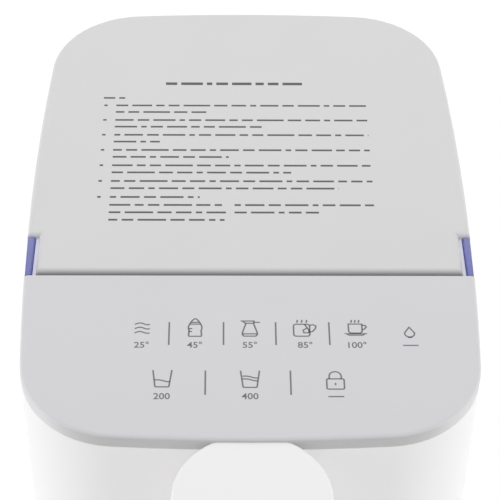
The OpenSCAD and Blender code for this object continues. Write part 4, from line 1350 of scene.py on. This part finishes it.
@dataclass
class Works:
    """Inner pieces that keep their solids' meshes and get a finish by their slot."""

    parts: list[dict[str, Any]] = field(default_factory=lambda: frame["record"]["subparts"])

    def build(self) -> None:
        """Dress every node."""
        for part in self.parts:
            finish = FINISHES[Slot(part["material_slot"])]
            for place in frame["nodes"][part["node"]].material_slots:
                place.material = finish.material()
            LOG.info("%s: %s", part["node"], finish.name)


@dataclass(frozen=True)
class Lamp:
    """A square soft lamp."""

    name: str
    place: Point3
    target: Point3
    power: float
    side: float

    def build(self) -> None:
        """Hang the lamp and turn it to its target."""
        Bench.clear()
        turn = (Vector(self.target) - Vector(self.place)).to_track_quat("-Z", "Y").to_euler()
        bpy.ops.object.light_add(type="AREA", location=self.place, rotation=turn)
        lamp = bpy.context.object
        lamp.name = self.name
        lamp.data.energy = self.power
        lamp.data.size = self.side


@dataclass
class Studio:
    """Floor, soft light and the camera.

    The eye is in millimetres from the middle of the panel's front edge, the focal length in pixels.
    """

    floor_side: float = 8.0
    floor_colour: Colour = (244, 244, 244)
    floor_share: float = 0.7
    floor_glow: float = 1.09
    shadow_reach: Point = (0.4, 1.6)
    sky: float = 0.58
    lamps: tuple[Lamp, ...] = (
        Lamp("overhead_lamp", (0.0, 0.85, 1.15), (0.0, 0.05, 0.25), 4.8, 1.2),
        Lamp("left_lamp", (-1.25, -0.32, 0.55), (0.0, 0.0, 0.2), 6.6, 0.9),
        Lamp("right_lamp", (1.25, -0.32, 0.55), (0.0, 0.0, 0.2), 6.6, 0.9),
    )
    eye: Point3 = (-7.97, -350.72, 421.46)
    pitch: float = 44.154
    yaw: float = 1.076
    roll: float = 0.848
    focal: float = 1786.38
    sensor: float = 36.0

    def build(self) -> None:
        """Set the stage, the light and the view."""
        bpy.context.scene.view_settings.view_transform = "Standard"
        self.lay_floor()
        self.light()
        self.aim_camera()

    def lay_floor(self) -> None:
        """Lay a pale floor that shows white and keeps the object's shadow."""
        Bench.clear()
        bpy.ops.mesh.primitive_plane_add(size=self.floor_side)
        floor = bpy.context.object
        floor.name = "studio_floor"
        paint = bpy.data.materials.new("pale floor")
        paint.use_nodes = True
        shader = Shader(paint.node_tree)
        matte = shader.node("ShaderNodeBsdfDiffuse", inputs={"Color": linear(self.floor_colour)})
        glow = shader.node("ShaderNodeEmission", inputs={"Color": WHITE, "Strength": self.floor_glow})
        distance = shader.node(
            "ShaderNodeVectorMath", {"operation": "LENGTH"}, {0: shader.place()}, "Value"
        )
        away = shader.ramp(distance, *self.shadow_reach)
        share = shader.seen_directly() * (self.floor_share + away * (1 - self.floor_share))
        shader.surface(shader.node("ShaderNodeMixShader", inputs={0: share, 1: matte, 2: glow}))
        floor.data.materials.append(paint)

    def light(self) -> None:
        """Set an even sky and the soft lamps."""
        world = bpy.data.worlds.new("studio sky")
        world.use_nodes = True
        bpy.context.scene.world = world
        shader = Shader(world.node_tree)
        strength = shader.seen_directly() * (1 - self.sky) + self.sky
        sky = shader.node("ShaderNodeBackground", inputs={"Color": WHITE, "Strength": strength})
        shader.surface(sky, "ShaderNodeOutputWorld")
        for lamp in self.lamps:
            lamp.build()

    def aim_camera(self) -> None:
        """Stand the camera where the photograph was taken from."""
        low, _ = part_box("front_housing")
        _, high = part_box("control_panel")
        pitch, yaw, roll = (math.radians(a) for a in (self.pitch, self.yaw, self.roll))
        ahead = Vector((math.sin(yaw), math.cos(yaw), -math.tan(pitch)))
        forward = ahead.normalized()
        level = Vector((math.cos(yaw), -math.sin(yaw), 0))
        above = level.cross(forward)
        right = math.cos(roll) * level + math.sin(roll) * above
        up = math.cos(roll) * above - math.sin(roll) * level
        place = Matrix((right, up, -forward)).transposed().to_4x4()
        place.translation = Vector((0, low.y, high.z)) + Vector(self.eye) * MM
        Bench.clear()
        bpy.ops.object.camera_add()
        camera = bpy.context.object
        camera.matrix_world = place
        camera.data.sensor_width = self.sensor
        camera.data.lens = self.focal * self.sensor / IMAGE_SIDE
        bpy.context.scene.camera = camera


def main() -> None:
    """Build every sub-assembly."""
    logging.basicConfig(level=logging.INFO, format="%(message)s")
    for assembly in (Studio(), Cabinet(), TopPanel(), Lid(), Spout(), Tank(), DripTray(), Works()):
        assembly.build()
        LOG.info("%s is done", type(assembly).__name__)


if __name__ == "__main__":
    main()
